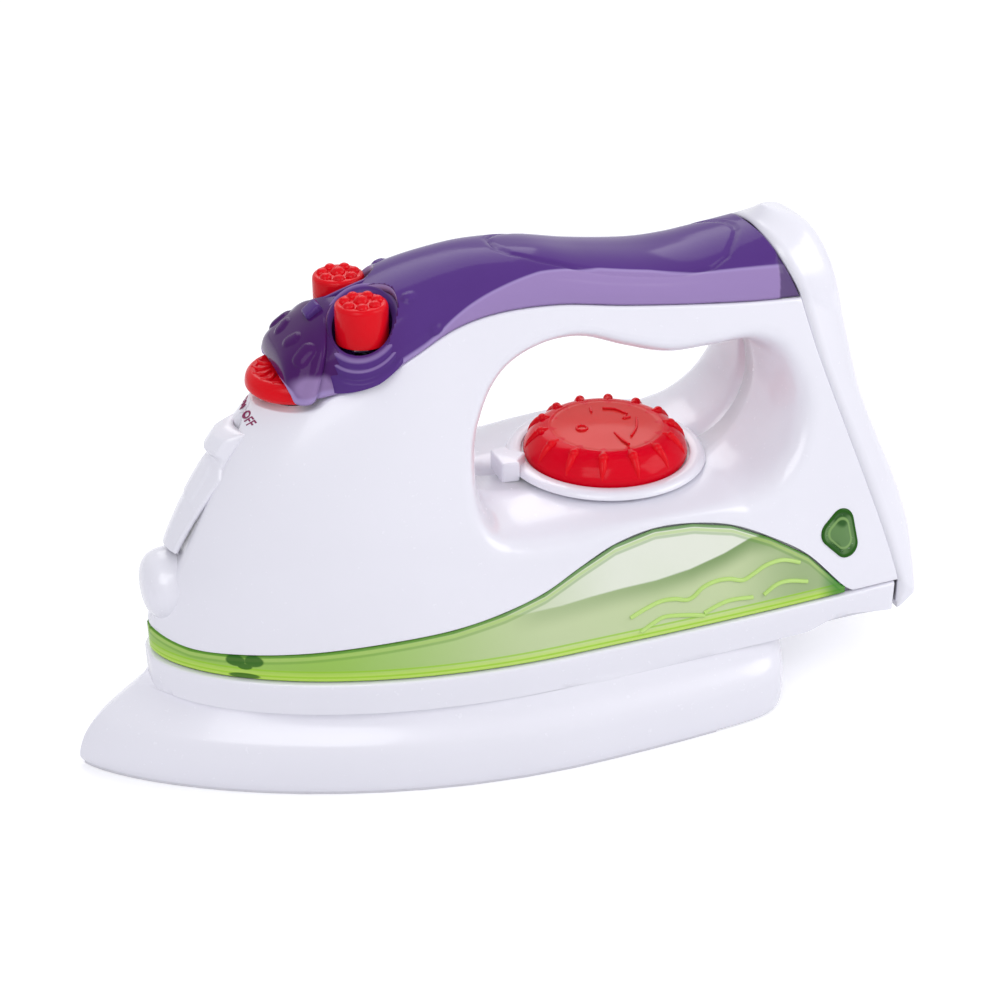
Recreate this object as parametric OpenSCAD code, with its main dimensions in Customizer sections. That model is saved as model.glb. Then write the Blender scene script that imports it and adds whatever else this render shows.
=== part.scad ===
// Toy steam iron: two moulded body halves round an open handle, a tinted grip cover, a tinted tank band,
// a flared base, a click dial, two sprung push buttons and an ON/OFF lever.
// The nose points to -X, +Z is up, and the origin is under the middle of the whole iron.

/* [Overall] */
// Length from the tip of the sole to the heel
iron_l = 206; // [180:1:240]
// Height to the top of the heel
iron_h = 117; // [105:1:135]
// Width of the sole
sole_w = 88; // [78:1:100]
// Length of the sole
sole_l = 168; // [150:1:180]
// Height of the base under the tank band
base_h = 28; // [26:1:32]

/* [Shell] */
// Width of the body just above the base
body_w = 76; // [68:1:84]
// Width of the handle
handle_w = 33; // [28:1:38]
// Wall of the moulded shells
wall = 2; // [1.6:0.1:2.6]
// Gap between two shells that meet
seam_gap = 0.1; // [0.06:0.02:0.3]
// Wall of the tinted tank band
tank_wall = 1.8; // [1.2:0.1:2.4]

/* [Dial] */
// Radius of the dial
dial_r = 20; // [17:0.5:22]
// Height of the dial
dial_h = 7.6; // [6.8:0.2:9]
// Number of grip ribs round the dial
dial_ribs = 14; // [8:1:20]
// Radius of the dial's hub
hub_r = 4; // [3:0.25:5]

/* [Buttons] */
// Radius of a push button
button_r = 5.9; // [5:0.1:7]
// Travel of a push button
button_travel = 2.5; // [1.5:0.1:3]
// Radius of the stem that guides a button
stem_r = 2.5; // [1.8:0.1:3]
// Distance of each button from the middle
button_y = 8.8; // [8:0.1:10]

/* [Lever] */
// Radius of the lever's round front
lever_r = 11.2; // [10:0.2:12]
// Thickness of the lever's front
lever_t = 4.7; // [4:0.1:6]
// Radius of the pin that the lever turns on
pin_r = 2; // [1.5:0.1:2.5]

/* [Batteries] */
// Diameter of a cell
cell_d = 14.2; // [10:0.1:14.5]
// Length of a cell without its button end
cell_l = 49; // [43:0.5:50]

/* [Fits] */
// Radial clearance of a running fit
run_gap = 0.05; // [0.02:0.01:0.08]
// Clearance between pieces that only sit together
sit_gap = 0.3; // [0.2:0.05:0.4]
// Radius of the screws' threads
screw_r = 1.3; // [1.1:0.1:1.5]

/* [Hidden] */

cut_over = 1;
mid_x = iron_l / 2;

// Outlines in the side view: shares of the iron's length from the sole tip, and of the height above the base.
// The opening's points add the share of length over which its lip rounds, and how square the lip is.
opening_shares = [
    [0.458, 0.402, 0.034, 3.0], [0.456, 0.500, 0.034, 2.6], [0.466, 0.607, 0.034, 2.4],
    [0.495, 0.703, 0.032, 2.2], [0.539, 0.755, 0.029, 2.2], [0.587, 0.755, 0.029, 2.2],
    [0.636, 0.715, 0.029, 2.2], [0.684, 0.683, 0.029, 2.2], [0.738, 0.681, 0.029, 2.2],
    [0.786, 0.679, 0.034, 2.4], [0.818, 0.635, 0.036, 2.8], [0.828, 0.528, 0.038, 3.0],
    [0.815, 0.425, 0.038, 3.2], [0.782, 0.350, 0.036, 3.6], [0.735, 0.329, 0.034, 4.2],
    [0.621, 0.329, 0.034, 4.2], [0.524, 0.329, 0.034, 4.2], [0.476, 0.346, 0.034, 3.6]];
nose_shares = [[0.093, 0.081], [0.119, 0.224], [0.148, 0.360], [0.185, 0.516], [0.227, 0.668]];
seam_shares = [
    [0.227, 0.668], [0.262, 0.674], [0.300, 0.700], [0.345, 0.749], [0.388, 0.800], [0.437, 0.849],
    [0.490, 0.872], [0.558, 0.870], [0.631, 0.846], [0.704, 0.826], [0.777, 0.809], [0.850, 0.798]];
rear_shares = [[0.850, 0.798], [0.867, 0.648], [0.898, 0.432], [0.940, 0.151], [0.960, 0.004]];
tank_shares = [
    [0.960, 0.004], [0.896, 0.005], [0.887, 0.019], [0.835, 0.138], [0.786, 0.209], [0.738, 0.261],
    [0.689, 0.287], [0.641, 0.293], [0.592, 0.272], [0.549, 0.231], [0.505, 0.184], [0.456, 0.153],
    [0.398, 0.128], [0.320, 0.109], [0.243, 0.089], [0.175, 0.075], [0.126, 0.068], [0.093, 0.081]];
cover_seam_shares = [
    [0.2550, 0.782, 0.16], [0.2555, 0.772, 0.31], [0.257, 0.748, 0.38], [0.262, 0.718, 0.42], [0.280, 0.720, 0.44],
    [0.303, 0.727, 0.2], [0.325, 0.742, 0.2], [0.345, 0.755, 0.2], [0.388, 0.804, 0.2], [0.437, 0.854, 0.2],
    [0.490, 0.876, 0.2], [0.558, 0.874, 0.2], [0.631, 0.850, 0.2], [0.704, 0.830, 0.2], [0.748, 0.820, 0.2],
    [0.790, 0.811, 0.2], [0.848, 0.803, 0.2]];
cover_top_shares = [
    [0.257, 0.800], [0.266, 0.820], [0.279, 0.846], [0.293, 0.870], [0.306, 0.889], [0.321, 0.906],
    [0.340, 0.921], [0.360, 0.937], [0.395, 0.963], [0.437, 0.984], [0.485, 0.996], [0.545, 0.987],
    [0.610, 0.955], [0.680, 0.932], [0.730, 0.932], [0.775, 0.945], [0.815, 0.959]];
spine_shares = [
    [0.988, -0.118], [0.997, -0.075], [1.000, 0.011], [0.999, 0.113], [0.985, 0.236], [0.964, 0.360],
    [0.944, 0.483], [0.932, 0.607], [0.920, 0.741], [0.903, 0.865], [0.874, 0.955], [0.835, 1.000]];
// Where along the opening (in points of its table) each place of the outer outline looks
nose_look_shares = [17.6, 20];
rear_look_shares = [9.9, 12.6];
seam_look_shares = [[0.232, 2], [0.388, 2.6], [0.447, 3.2], [0.490, 4], [0.558, 4.8], [0.631, 6],
    [0.704, 7.3], [0.777, 8.6], [0.850, 9.9]];
tank_look_shares = [[0.093, 17.6], [0.291, 17.4], [0.476, 17], [0.524, 16], [0.621, 15], [0.718, 14],
    [0.777, 13.6], [0.835, 13.3], [0.893, 13], [0.960, 12.6]];

// Rings of the lofted shells: shares of the lip, then shares of the way from the lip to the outline
lip_out_shares = [0, 0.08, 0.28, 0.6, 1];
flank_out_shares = [0.3, 0.58, 0.78, 0.9, 0.97, 1];
lip_in_shares = [1, 0.45, 0.12, 0];
flank_in_shares = [0.85, 0.4];

nose_base_x = 0.0922 * iron_l;
nose_base_z = level(0.063);
grip_z = level(0.809);
belly_x = 0.607 * iron_l;
run_low = 0.442 * iron_l;
run_high = 0.136 * iron_l;
recess = tank_wall + 2 * sit_gap;

// Curve and surface rules
function mix(a, b, t) = a + (b - a) * t;
function clip(v, lo, hi) = min(max(v, lo), hi);
function unit(v) = v / norm(v);
function blend(a, b, c, d, t) =
    b + t / 2 * ((c - a) + t * ((2 * a - 5 * b + 4 * c - d) + t * (3 * b - a - 3 * c + d)));
function along(p, s) =
    let (n = len(p) - 1, q = clip(s, 0, 1) * n, i = min(floor(q), n - 1))
    blend(p[max(i - 1, 0)], p[i], p[i + 1], p[min(i + 2, n)], q - i);
function around(p, q) =
    let (n = len(p), i = floor(q), t = q - i)
    blend(p[(i - 1 + n) % n], p[i % n], p[(i + 1) % n], p[(i + 2) % n], t);
function level(share) = mix(base_h, iron_h, share);
function side_point(share) = [share[0] * iron_l, level(share[1])];
function rise(z) = clip((z - base_h) / (grip_z - base_h), 0, 1.4);
function half_w(z) = mix(body_w, handle_w, pow(rise(z), 1.25)) / 2;
function nose_x(z) =
    let (h = max(z - nose_base_z, 0)) nose_base_x + h * (0.128 + 0.842 * h / iron_h);
function run(z) = mix(run_low, run_high, rise(z));
// Half width of the body at a place of the side view, on a surface that lies inset under the outside
function flank(x, z, inset) =
    let (s = clip((x - nose_x(z) - inset) / (run(z) - inset), 0, 1),
         r = max(0, (x - belly_x) / (iron_l - belly_x)))
    (half_w(z) - inset) * pow(1 - pow(1 - s, 2), 0.588) * (1 - 0.07 * r * r);
function lip_rise(c, square) = pow(max(1 - pow(1 - c, square), 0), 1 / square);

// Faces of a grid of points that closes on itself along its rows, and from its last row to its first
function ring_faces(rows, n) = [
    for (k = [0 : rows - 1]) for (i = [0 : n - 1])
        let (a = k * n + i, b = k * n + (i + 1) % n,
             c = ((k + 1) % rows) * n + (i + 1) % n, d = ((k + 1) % rows) * n + i)
        each [[a, b, c], [a, c, d]]];

// Body halves
// One place of the outer outline: side point, opening point, and the way the lap tongue goes
function outline_nose(t) =
    [along(nose_shares, t), around(opening_shares, mix(nose_look_shares[0], nose_look_shares[1], t)), [0, 0]];
function outline_seam(t) =
    let (p = along(seam_shares, t), up = clip((p[0] - 0.41) / 0.03, 0.1, 1))
    [p, around(opening_shares, lookup(p[0], seam_look_shares)), [0, up * wall]];
function outline_rear(t) =
    [along(rear_shares, t), around(opening_shares, mix(rear_look_shares[0], rear_look_shares[1], t)), [0.8 * wall, 0]];
function outline_tank(t) =
    let (p = along(tank_shares, t), down = clip((0.945 - p[0]) / 0.02, 0.1, 1))
    [p, around(opening_shares, lookup(p[0], tank_look_shares)), [0, down * (base_h - 0.6 * wall - level(p[1]))]];
body_outline = concat(
    [for (i = [0 : 7]) outline_nose(i / 8)],
    [for (i = [0 : 14]) outline_seam(i / 15)],
    [for (i = [0 : 7]) outline_rear(i / 8)],
    [for (i = [0 : 20]) outline_tank(i / 21)]);

function shell_point(p, inset, f) =
    let (x = max(p[0], nose_x(p[1]) + inset)) [x, max(flank(x, p[1], inset) * f, 0) + seam_gap / 2, p[1]];
function shell_rings(station) =
    let (p = side_point(station[0]), q = side_point(station[1]), l = norm(p - q), d = (p - q) / l,
         lip = min(station[1][2] * iron_l, 0.8 * l), sq = station[1][3], t = p + station[2])
    concat(
        [for (c = lip_out_shares) shell_point(q + d * lip * c, 0, lip_rise(c, sq))],
        [for (e = flank_out_shares) shell_point(q + d * mix(lip, l, e), 0, 1)],
        [shell_point(p, recess, 1), shell_point(t, recess + 0.1 * wall, 1),
         shell_point(t, recess + 0.75 * wall, 1), shell_point(p, recess + 0.85 * wall, 1)],
        [for (e = flank_in_shares) shell_point(q + d * mix(lip, l, e), wall, 1)],
        [for (c = lip_in_shares) shell_point(q + d * mix(wall, lip, c), wall, lip_rise(c, sq))]);
body_rings = [for (s = body_outline) shell_rings(s)];
body_rows = len(body_rings[0]);
body_points = [for (k = [0 : body_rows - 1]) for (i = [0 : len(body_outline) - 1]) body_rings[i][k]];

module body_shell() {
    polyhedron(points = body_points, faces = ring_faces(body_rows, len(body_outline)));
}

// Handle cover
cover_steps = 32;
cover_arch = 14;
cover_lead = 3;
function arch_point(q, t, w, angle) =
    let (s = pow(abs(sin(angle)), 0.8), c = pow(abs(cos(angle)), 0.8) * sign(cos(angle)))
    [mix(q[0], t[0], s), w * c, mix(q[1], t[1], s)];
function cover_row(a, inset) =
    let (q = side_point(along(cover_seam_shares, a)), t = side_point(along(cover_top_shares, a)),
         under = inset * clip(0.55 + 2 * a, 0, 1),
         w = max(flank(q[0] + cover_lead, q[1], 0), along(cover_seam_shares, a)[2] * handle_w) - under,
         e = unit(t - q), t2 = t - e * under)
    [for (j = [0 : cover_arch]) arch_point(q, t2, w, 180 * j / cover_arch)];
cover_rows = concat(
    [for (i = [0 : cover_steps]) cover_row(i / cover_steps, 0)],
    [for (i = [cover_steps : -1 : 1]) cover_row(i / cover_steps, wall)]);

module cover_shell() {
    n = cover_arch + 1;
    rows = len(cover_rows);
    points = [for (r = cover_rows) each r];
    skin = [for (k = [0 : rows - 1]) for (j = [0 : n - 2])
        let (a = k * n + j, b = k * n + j + 1, c = ((k + 1) % rows) * n + j + 1, d = ((k + 1) % rows) * n + j)
        each [[a, c, b], [a, d, c]]];
    // The two lower edges: rows k and rows - k share a station, so strips join them
    edge = [for (k = [0 : cover_steps - 1]) let (m = rows - k, a = k * n, b = (k + 1) * n,
        c = (rows - k - 1) * n, d = (m % rows) * n)
        each (k == 0 ? [[a, b, c]] : [[a, b, c], [a, c, d]])];
    far_edge = [for (f = edge) [f[0] + n - 1, f[2] + n - 1, f[1] + n - 1]];
    polyhedron(points = points, faces = concat(skin, edge, far_edge));
}

// Rear cover
rear_levels = 22;
rear_side = 5;
rear_low_z = 0.61 * base_h;
// Seam points climb the side of the body, then the end arch of the handle cover
function rear_seam(a) =
    a < 0.7
    ? let (z = mix(rear_low_z, cover_end_q[1], a / 0.7), s = rear_line(z)) [s, flank(s, z, 0), z]
    : arch_point(cover_end_q, cover_end_t, cover_end_w, (a - 0.7) / 0.3 * 84) + [2 * sit_gap, 0, 0];
cover_end_q = side_point(cover_seam_shares[len(cover_seam_shares) - 1]);
cover_end_t = side_point(cover_top_shares[len(cover_top_shares) - 1]);
cover_end_w = flank(cover_end_q[0] + cover_lead, cover_end_q[1], 0);
rear_line_shares = [[-0.124, 0.968], [0.003, 0.962], [0.151, 0.942], [0.432, 0.900], [0.648, 0.869],
    [0.803, 0.852]];
function rear_line(z) = lookup((z - base_h) / (iron_h - base_h), rear_line_shares) * iron_l + sit_gap;
function rear_row(a, inset) =
    let (s = rear_seam(a), b = side_point(along(spine_shares, a)), y = s[1] - inset,
         back = [b[0] - inset, b[1] - (a > 0.8 ? inset * (a - 0.8) / 0.2 : 0)])
    [for (j = [0 : 2 * rear_side]) let (g = 180 * j / (2 * rear_side), u = pow(abs(sin(g)), 0.5),
        v = pow(abs(cos(g)), 0.42) * sign(cos(g)))
        [mix(s[0], back[0], u), y * v, mix(s[2] - (a > 0.7 ? inset * (a - 0.7) / 0.3 : 0), back[1], u)]];

module heel_shell() {
    n = 2 * rear_side + 1;
    rows = concat([for (i = [0 : rear_levels]) rear_row(i / rear_levels, 0)],
        [for (i = [rear_levels : -1 : 0]) rear_row(i / rear_levels, wall)]);
    m = len(rows);
    points = [for (r = rows) each r];
    skin = [for (k = [0 : m - 1]) for (j = [0 : n - 2])
        if (k != rear_levels && k != m - 1)
        let (a = k * n + j, b = k * n + j + 1, c = (k + 1) * n + j + 1, d = (k + 1) * n + j)
        each [[a, b, c], [a, c, d]]];
    foot = [for (j = [0 : n - 2]) let (a = j, b = j + 1, c = (m - 1) * n + j + 1, d = (m - 1) * n + j)
        each [[a, c, b], [a, d, c]]];
    top = rear_levels * n;
    zip = [for (j = [0 : rear_side - 1]) let (a = top + j, b = top + j + 1, c = top + n - 2 - j,
        d = top + n - 1 - j) each (j == rear_side - 1 ? [[a, b, d]] : [[a, b, c], [a, c, d]])];
    under = [for (f = zip) [f[0] + n, f[2] + n, f[1] + n]];
    edge = [for (k = [0 : rear_levels - 1]) let (a = k * n, b = (k + 1) * n, c = (m - 2 - k) * n,
        d = (m - 1 - k) * n) each [[a, b, c], [a, c, d]]];
    far_edge = [for (f = edge) [f[0] + n - 1, f[2] + n - 1, f[1] + n - 1]];
    lid = [[top, top + 2 * n - 1, top + n], [top, top + n - 1, top + 2 * n - 1]];
    polyhedron(points = points, faces = concat(skin, foot, zip, under, edge, far_edge, lid));
}

// Water tank band
tank_steps = 72;
tank_up = 5;
function tank_edge_z(x) = level(lookup(x / iron_l, tank_edge_shares)) - sit_gap;
tank_edge_shares = [for (i = [len(tank_shares) - 1 : -1 : 2]) tank_shares[i]];
// Stations run from the near rear tip round the nose: negative is the near side
function tank_station(i) =
    let (t = 2 * i / tank_steps - 1, far = 0.884 * iron_l - nose_base_x)
    [nose_base_x + far * pow(abs(t), 1.6), sign(t)];
function tank_point(st, v, inset) =
    let (x0 = st[0], z0 = base_h + sit_gap, z1 = max(tank_edge_z(x0), z0 + 1.2),
         z = mix(z0, z1, v), lead = clip(1 - 4 * (x0 - nose_base_x) / iron_l, 0, 1),
         x = x0 + inset * lead + (x0 < nose_x(z) ? nose_x(z) - x0 : 0),
         y = flank(x, z, inset))
    [x, st[1] * y, z];
function tank_row(i) =
    let (st = tank_station(i))
    concat([for (j = [0 : tank_up]) tank_point(st, j / tank_up, 0)],
        [for (j = [tank_up : -1 : 0]) tank_point(st, j / tank_up, tank_wall)]);

module tank_shell() {
    n = 2 * (tank_up + 1);
    points = [for (i = [0 : tank_steps]) each tank_row(i)];
    skin = [for (i = [0 : tank_steps - 1]) for (j = [0 : n - 1])
        let (a = i * n + j, b = i * n + (j + 1) % n, c = (i + 1) * n + (j + 1) % n, d = (i + 1) * n + j)
        each [[a, c, b], [a, d, c]]];
    caps = [for (j = [0 : tank_up - 1])
        let (a = j, b = j + 1, c = n - 2 - j, d = n - 1 - j, e = tank_steps * n)
        each [[a, b, c], [a, c, d], [e + a, e + c, e + b], [e + a, e + d, e + c]]];
    polyhedron(points = points, faces = concat(skin, caps));
}

// Base skirt
skirt_steps = 60;
crease_z = 0.7 * base_h;
foot_gap = 0.8;
heel_low_z = 0.57 * base_h;
deck_z = 0.79 * base_h;
// Plan places run from the tip along one side to the rear and back: share of the length, side
function skirt_t(i) = let (t = i / skirt_steps) t < 0.5 ? [2 * t, 1] : [2 - 2 * t, -1];
function spread(t) = t < 0.5 ? 2 * t * t : 1 - pow(2 - 2 * t, 2.4) / 2;
// A ring of the skirt: how far it lies inside the sole at the sides, the nose and the rear, and its height
function sole_point(i, ring) =
    let (s = skirt_t(i), x = ring[1] + (sole_l - ring[1] - ring[2]) * spread(s[0]),
         m = 0.67 * sole_l, q = clip((x - ring[1]) / (m - ring[1]), 0, 1),
         r = clip((x - m) / (sole_l - ring[2] - m), 0, 1))
    [x, s[1] * (sole_w / 2 - ring[0]) * pow(1 - pow(1 - q, 1.91), 0.787) * (1 - 0.065 * r * r)
        * pow(1 - pow(r, 16), 0.5), ring[3]];
band_l = 0.962 * iron_l;
band_lead = 0.3 * wall;
function band_point(i, inset, z) =
    let (s = skirt_t(i), x0 = nose_base_x - band_lead + inset, x = x0 + (band_l - inset - x0) * spread(s[0]),
         r = clip((x - sole_l) / (band_l - inset - sole_l), 0, 1))
    [x, s[1] * flank(x + band_lead, base_h, inset - band_lead) * pow(1 - pow(r, 24), 0.5),
     z - (z < deck_z ? max(crease_z - heel_low_z, 0) * clip((x - sole_l) / (0.02 * iron_l), 0, 1) : 0)];
skirt_out = [[1.3 * wall, 1.5 * wall, 1.5 * wall, foot_gap], [0.3 * wall, 0.4 * wall, 0.4 * wall, foot_gap + 0.3 * wall],
    [0, 0, 0, foot_gap + 1.2 * wall], [0.2 * wall, 0.008 * iron_l, 0, 0.276 * base_h],
    [0.7 * wall, 0.024 * iron_l, 0, 0.43 * base_h], [2.1 * wall, 0.048 * iron_l, 0.2 * wall, 0.564 * base_h],
    [2.7 * wall, 0.074 * iron_l, 0.2 * wall, crease_z]];
function inner_ring(r, z) = [r[0] + 1.1 * wall, r[1] + 1.6 * wall, r[2] + 1.1 * wall, z];
skirt_in = [inner_ring(skirt_out[6], deck_z - wall), inner_ring(skirt_out[4], skirt_out[4][3]),
    inner_ring(skirt_out[3], skirt_out[3][3]), inner_ring(skirt_out[2], foot_gap)];

module skirt_shell() {
    n = skirt_steps;
    loops = concat(
        [for (o = skirt_out) [for (i = [0 : n - 1]) sole_point(i, o)]],
        [[for (i = [0 : n - 1]) band_point(i, 0, crease_z + 0.2 * wall)],
         [for (i = [0 : n - 1]) band_point(i, 0, base_h)],
         [for (i = [0 : n - 1]) band_point(i, 0.9 * wall, base_h)],
         [for (i = [0 : n - 1]) band_point(i, wall, deck_z)]]);
    rings = concat(loops, [for (o = skirt_in) [for (i = [0 : n - 1]) sole_point(i, o)]]);
    rows = len(rings);
    deck_row = len(loops) - 1;
    skin = [for (k = [0 : rows - 1]) if (k != deck_row) for (i = [0 : n - 1])
        let (a = k * n + i, b = k * n + (i + 1) % n, c = ((k + 1) % rows) * n + (i + 1) % n,
             d = ((k + 1) % rows) * n + i)
        each [[a, b, c], [a, c, d]]];
    deck = [[for (i = [0 : n - 1]) deck_row * n + i]];
    ceiling = [[for (i = [n - 1 : -1 : 0]) (deck_row + 1) * n + i]];
    polyhedron(points = [for (r = rings) each r], faces = concat(skin, deck, ceiling));
}

// Places of the mechanism
dial_x = 0.648 * iron_l;
deck_top = level(0.329);
tube_r = hub_r + run_gap + 0.8 * wall;
tube_end = deck_top - 3.6 * wall;
hub_end = tube_end - sit_gap;
peg_x = 0.8 * dial_r;
peg_r = 0.75 * wall;
bezel_r = 1.22 * dial_r;
button_x = 0.3432 * iron_l;
button_top = level(0.947);
cup_low = button_top - 1.75 * button_r;
floor_top = cup_low - button_travel - sit_gap;
guide_low = floor_top - 4 * wall;
stem_low = guide_low - 0.6 * button_r;
board_t = 0.8 * wall;
board_top = stem_low - button_travel - sit_gap - 1.2 * wall;
well_r = button_r + 0.95 * wall;
rim_r = well_r + 0.75 * wall;
collar_r = rim_r + 0.5 * wall;
rim_z = cup_low + 0.5 * button_r;
rim_out = 24;
rim_fall = 17;
lever_x = 0.2785 * iron_l;
lever_z = level(0.690);
lever_hub_r = 0.43 * lever_r;
lever_sweep = 76;
peg_reach = 0.36 * lever_r;
lamp_x = 0.876 * iron_l;
lens_z = level(0.18);
boss_r = screw_r + 0.9 * wall;
boss_shares = [[0.228, 0.340], [0.416, 0.640], [0.427, 0.130], [0.874, 0.420]];
foot_posts = [[0.300 * iron_l, 1], [0.300 * iron_l, -1], [0.728 * iron_l, 1], [0.728 * iron_l, -1]];
main_posts = [[0.225 * iron_l, 0.06 * iron_l], [0.225 * iron_l, -0.06 * iron_l],
    [0.398 * iron_l, 0.06 * iron_l], [0.398 * iron_l, -0.06 * iron_l]];
main_low = deck_z + 3 * wall;
bay_x = 0.350 * iron_l;
bay_l = cell_l + 12 * wall;
bay_half = cell_d + 0.6 * wall;
bay_top = deck_z - wall - sit_gap;
door_t = 0.9 * wall;
speaker_x = 0.200 * iron_l;
speaker_r = 0.062 * iron_l;
sole_posts = [[0.1 * iron_l, 0], [0.715 * iron_l, 0.29 * sole_w], [0.715 * iron_l, -0.29 * sole_w]];
$fn = 40;

module place() { translate([-mid_x, 0, 0]) children(); }
module rod(x, y, low, high, r) { translate([x, y, low]) cylinder(r = r, h = high - low); }
module cross_rod(x, z, y0, y1, r) { translate([x, y0, z]) rotate([-90, 0, 0]) cylinder(r = r, h = y1 - y0); }
module slab(x0, x1, y0, y1, z0, z1) { translate([x0, y0, z0]) cube([x1 - x0, y1 - y0, z1 - z0]); }

// Screw with its head at z = 0, pointing up
module screw(length) {
    translate([0, 0, -0.8 * screw_r]) difference() {
        cylinder(r = 1.9 * screw_r, h = 0.8 * screw_r);
        for (a = [0, 90]) rotate(a) translate([-0.3 * screw_r, -screw_r, -cut_over])
            cube([0.6 * screw_r, 2 * screw_r, cut_over + 0.4 * screw_r]);
    }
    cylinder(r = screw_r, h = length);
}

// Wire coil standing on z = 0
coil_sides = 5;
coil_parts = 8;
module coil(r, wire, height, turns) {
    n = turns * coil_parts;
    points = [for (i = [0 : n]) for (k = [0 : coil_sides - 1])
        let (a = 360 * i / coil_parts, b = 360 * k / coil_sides, c = r + wire * cos(b))
        [c * cos(a), c * sin(a), wire + (height - 2 * wire) * i / n + wire * sin(b)]];
    skin = [for (i = [0 : n - 1]) for (k = [0 : coil_sides - 1])
        let (a = i * coil_sides + k, b = i * coil_sides + (k + 1) % coil_sides, m = coil_sides)
        each [[a, b + m, b], [a, a + m, b + m]]];
    ends = [[for (k = [0 : coil_sides - 1]) k],
        [for (k = [coil_sides - 1 : -1 : 0]) n * coil_sides + k]];
    polyhedron(points = points, faces = concat(skin, ends));
}

// Rounded triangle of the indicator lens, seen from the side
module lens_outline(grow) {
    hull() {
        for (p = [[-2.2, 0.4], [1.6, 3.2], [3.0, -4.0]])
            translate([lamp_x, lens_z] + p * lens_unit) circle(r = 2.7 * lens_unit + grow, $fn = 24);
    }
}
lens_unit = 0.0049 * iron_l;
lens_y = flank(lamp_x, lens_z, 0);
module lens_prism(grow, y0, y1) {
    translate([0, y1, 0]) rotate([90, 0, 0]) linear_extrude(y1 - y0) lens_outline(grow);
}

knob_z = level(0.187);
knob_r = 0.042 * iron_l;
knob_front = nose_x(knob_z) - 0.014 * iron_l;
knob_back = nose_x(knob_z) + 0.062 * iron_l;
module nose_rod(r, x0, x1) { translate([x0, 0, knob_z]) rotate([0, 90, 0]) cylinder(r = r, h = x1 - x0); }

post_top = base_h + 14 * wall;
function post_y(p) = flank(p[0], post_top, wall) - 0.6 * boss_r;
shelf_r = 1.25 * wall;
shelf_y = button_y + 0.3 * button_r;
shelves = [[button_x - 2 * button_r, shelf_y - 1.5 * wall], [button_x + 1.2 * button_r, shelf_y]];
module right_half() {
    difference() {
        union() {
            body_shell();
            for (s = boss_shares) let (x = s[0] * iron_l, z = level(s[1]))
                cross_rod(x, z, seam_gap / 2, flank(x - boss_r, z + boss_r, wall / 2), boss_r);
            for (p = foot_posts) if (p[1] > 0) rod(p[0], post_y(p), deck_z + sit_gap, post_top, boss_r);
            for (p = shelves) let (z = board_top - board_t)
                slab(p[0], p[0] + 2 * shelf_r, p[1], flank(p[0], z, wall / 2), z - 2 * wall, z);
        }
        rod(dial_x, 0, deck_top - 2 * wall, deck_top + cut_over, tube_r + sit_gap);
        for (k = [-1, 1]) rod(dial_x + k * peg_x, 0, deck_top - 2 * wall, deck_top + cut_over, peg_r + sit_gap);
        nose_rod(knob_r + sit_gap, knob_front - cut_over, knob_back);
        lens_prism(sit_gap / 2, lens_y - 3 * wall, lens_y + 3 * wall);
        for (p = foot_posts) rod(p[0], post_y(p), deck_z, base_h + 4 * wall, screw_r * 0.9);
        for (p = shelves) rod(p[0] + shelf_r, p[1] + shelf_r, board_top - board_t - 3 * wall, board_top, screw_r * 0.9);
    }
}

module body_right() {
    color("white") place() difference() {
        right_half();
        for (s = boss_shares) let (x = s[0] * iron_l, z = level(s[1]), y = flank(x, z, 0)) {
            cross_rod(x, z, -cut_over, y + cut_over, screw_r + run_gap);
            cross_rod(x, z, y - 3 * wall, y + 2 * wall, 2 * screw_r + sit_gap);
        }
    }
}

module body_left() {
    color("white") place() mirror([0, 1, 0]) difference() {
        right_half();
        for (s = boss_shares) cross_rod(s[0] * iron_l, level(s[1]), -cut_over, 6 * wall, screw_r * 0.9);
    }
}

module body_screws() {
    color("silver") place() for (s = boss_shares) let (x = s[0] * iron_l, z = level(s[1]), y = flank(x, z, 0))
        translate([x, y - 3 * wall + run_gap, z]) rotate([90, 0, 0]) screw(y - 3 * wall + 4 * wall);
}

// Plane that cuts a button's well: it falls outwards and forwards
module well_tilt(side, drop) {
    translate([button_x, side * button_y, rim_z - drop]) rotate([-side * rim_out, -rim_fall, 0]) children();
}
module well_tube(side, r, low, drop) {
    difference() {
        rod(button_x, side * button_y, low, rim_z + 2 * button_r, r);
        well_tilt(side, drop) cylinder(r = 4 * collar_r, h = 6 * collar_r);
    }
}

module under_seam() {
    edge = [for (i = [5 : 9]) side_point(cover_seam_shares[i])];
    outline = concat(edge, [[edge[4][0], guide_low], [edge[0][0] - wall, guide_low], [edge[0][0] - wall, edge[0][1]]]);
    for (side = [-1, 1]) translate([0, side * (well_keep + 2 * collar_r), 0]) rotate([90, 0, 0])
        linear_extrude(4 * collar_r, center = true) polygon(outline);
}
well_keep = flank(button_x, level(0.74), recess + 0.85 * wall) - sit_gap;

module handle_cover() {
    color("indigo") place() difference() {
        union() {
            cover_shell();
            difference() {
                for (side = [-1, 1]) {
                    well_tube(side, rim_r, floor_top - wall, 0);
                    well_tube(side, collar_r, floor_top - wall, 0.9 * wall);
                    well_tube(side, well_r + 0.4 * wall, floor_top - wall, -0.9 * wall);
                    rod(button_x, side * button_y, guide_low, floor_top, stem_r + 0.7 * wall);
                }
                under_seam();
            }
            rod(lever_x, 0, lever_z - sit_gap, level(0.82), pin_r);
            rod(lever_x, 0, lever_z + 0.76 * lever_t + sit_gap, level(0.82), pin_r + 0.8 * wall);
        }
        for (side = [-1, 1]) {
            rod(button_x, side * button_y, floor_top, rim_z + 4 * button_r, well_r);
            rod(button_x, side * button_y, guide_low - cut_over, floor_top + cut_over, stem_r + run_gap);
        }
        rod(lever_x, 0, lever_z - wall, lever_z + lever_t, screw_r * 0.9);
    }
}

module water_tank() {
    color("yellowgreen", 0.8) place() tank_shell();
}

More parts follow.
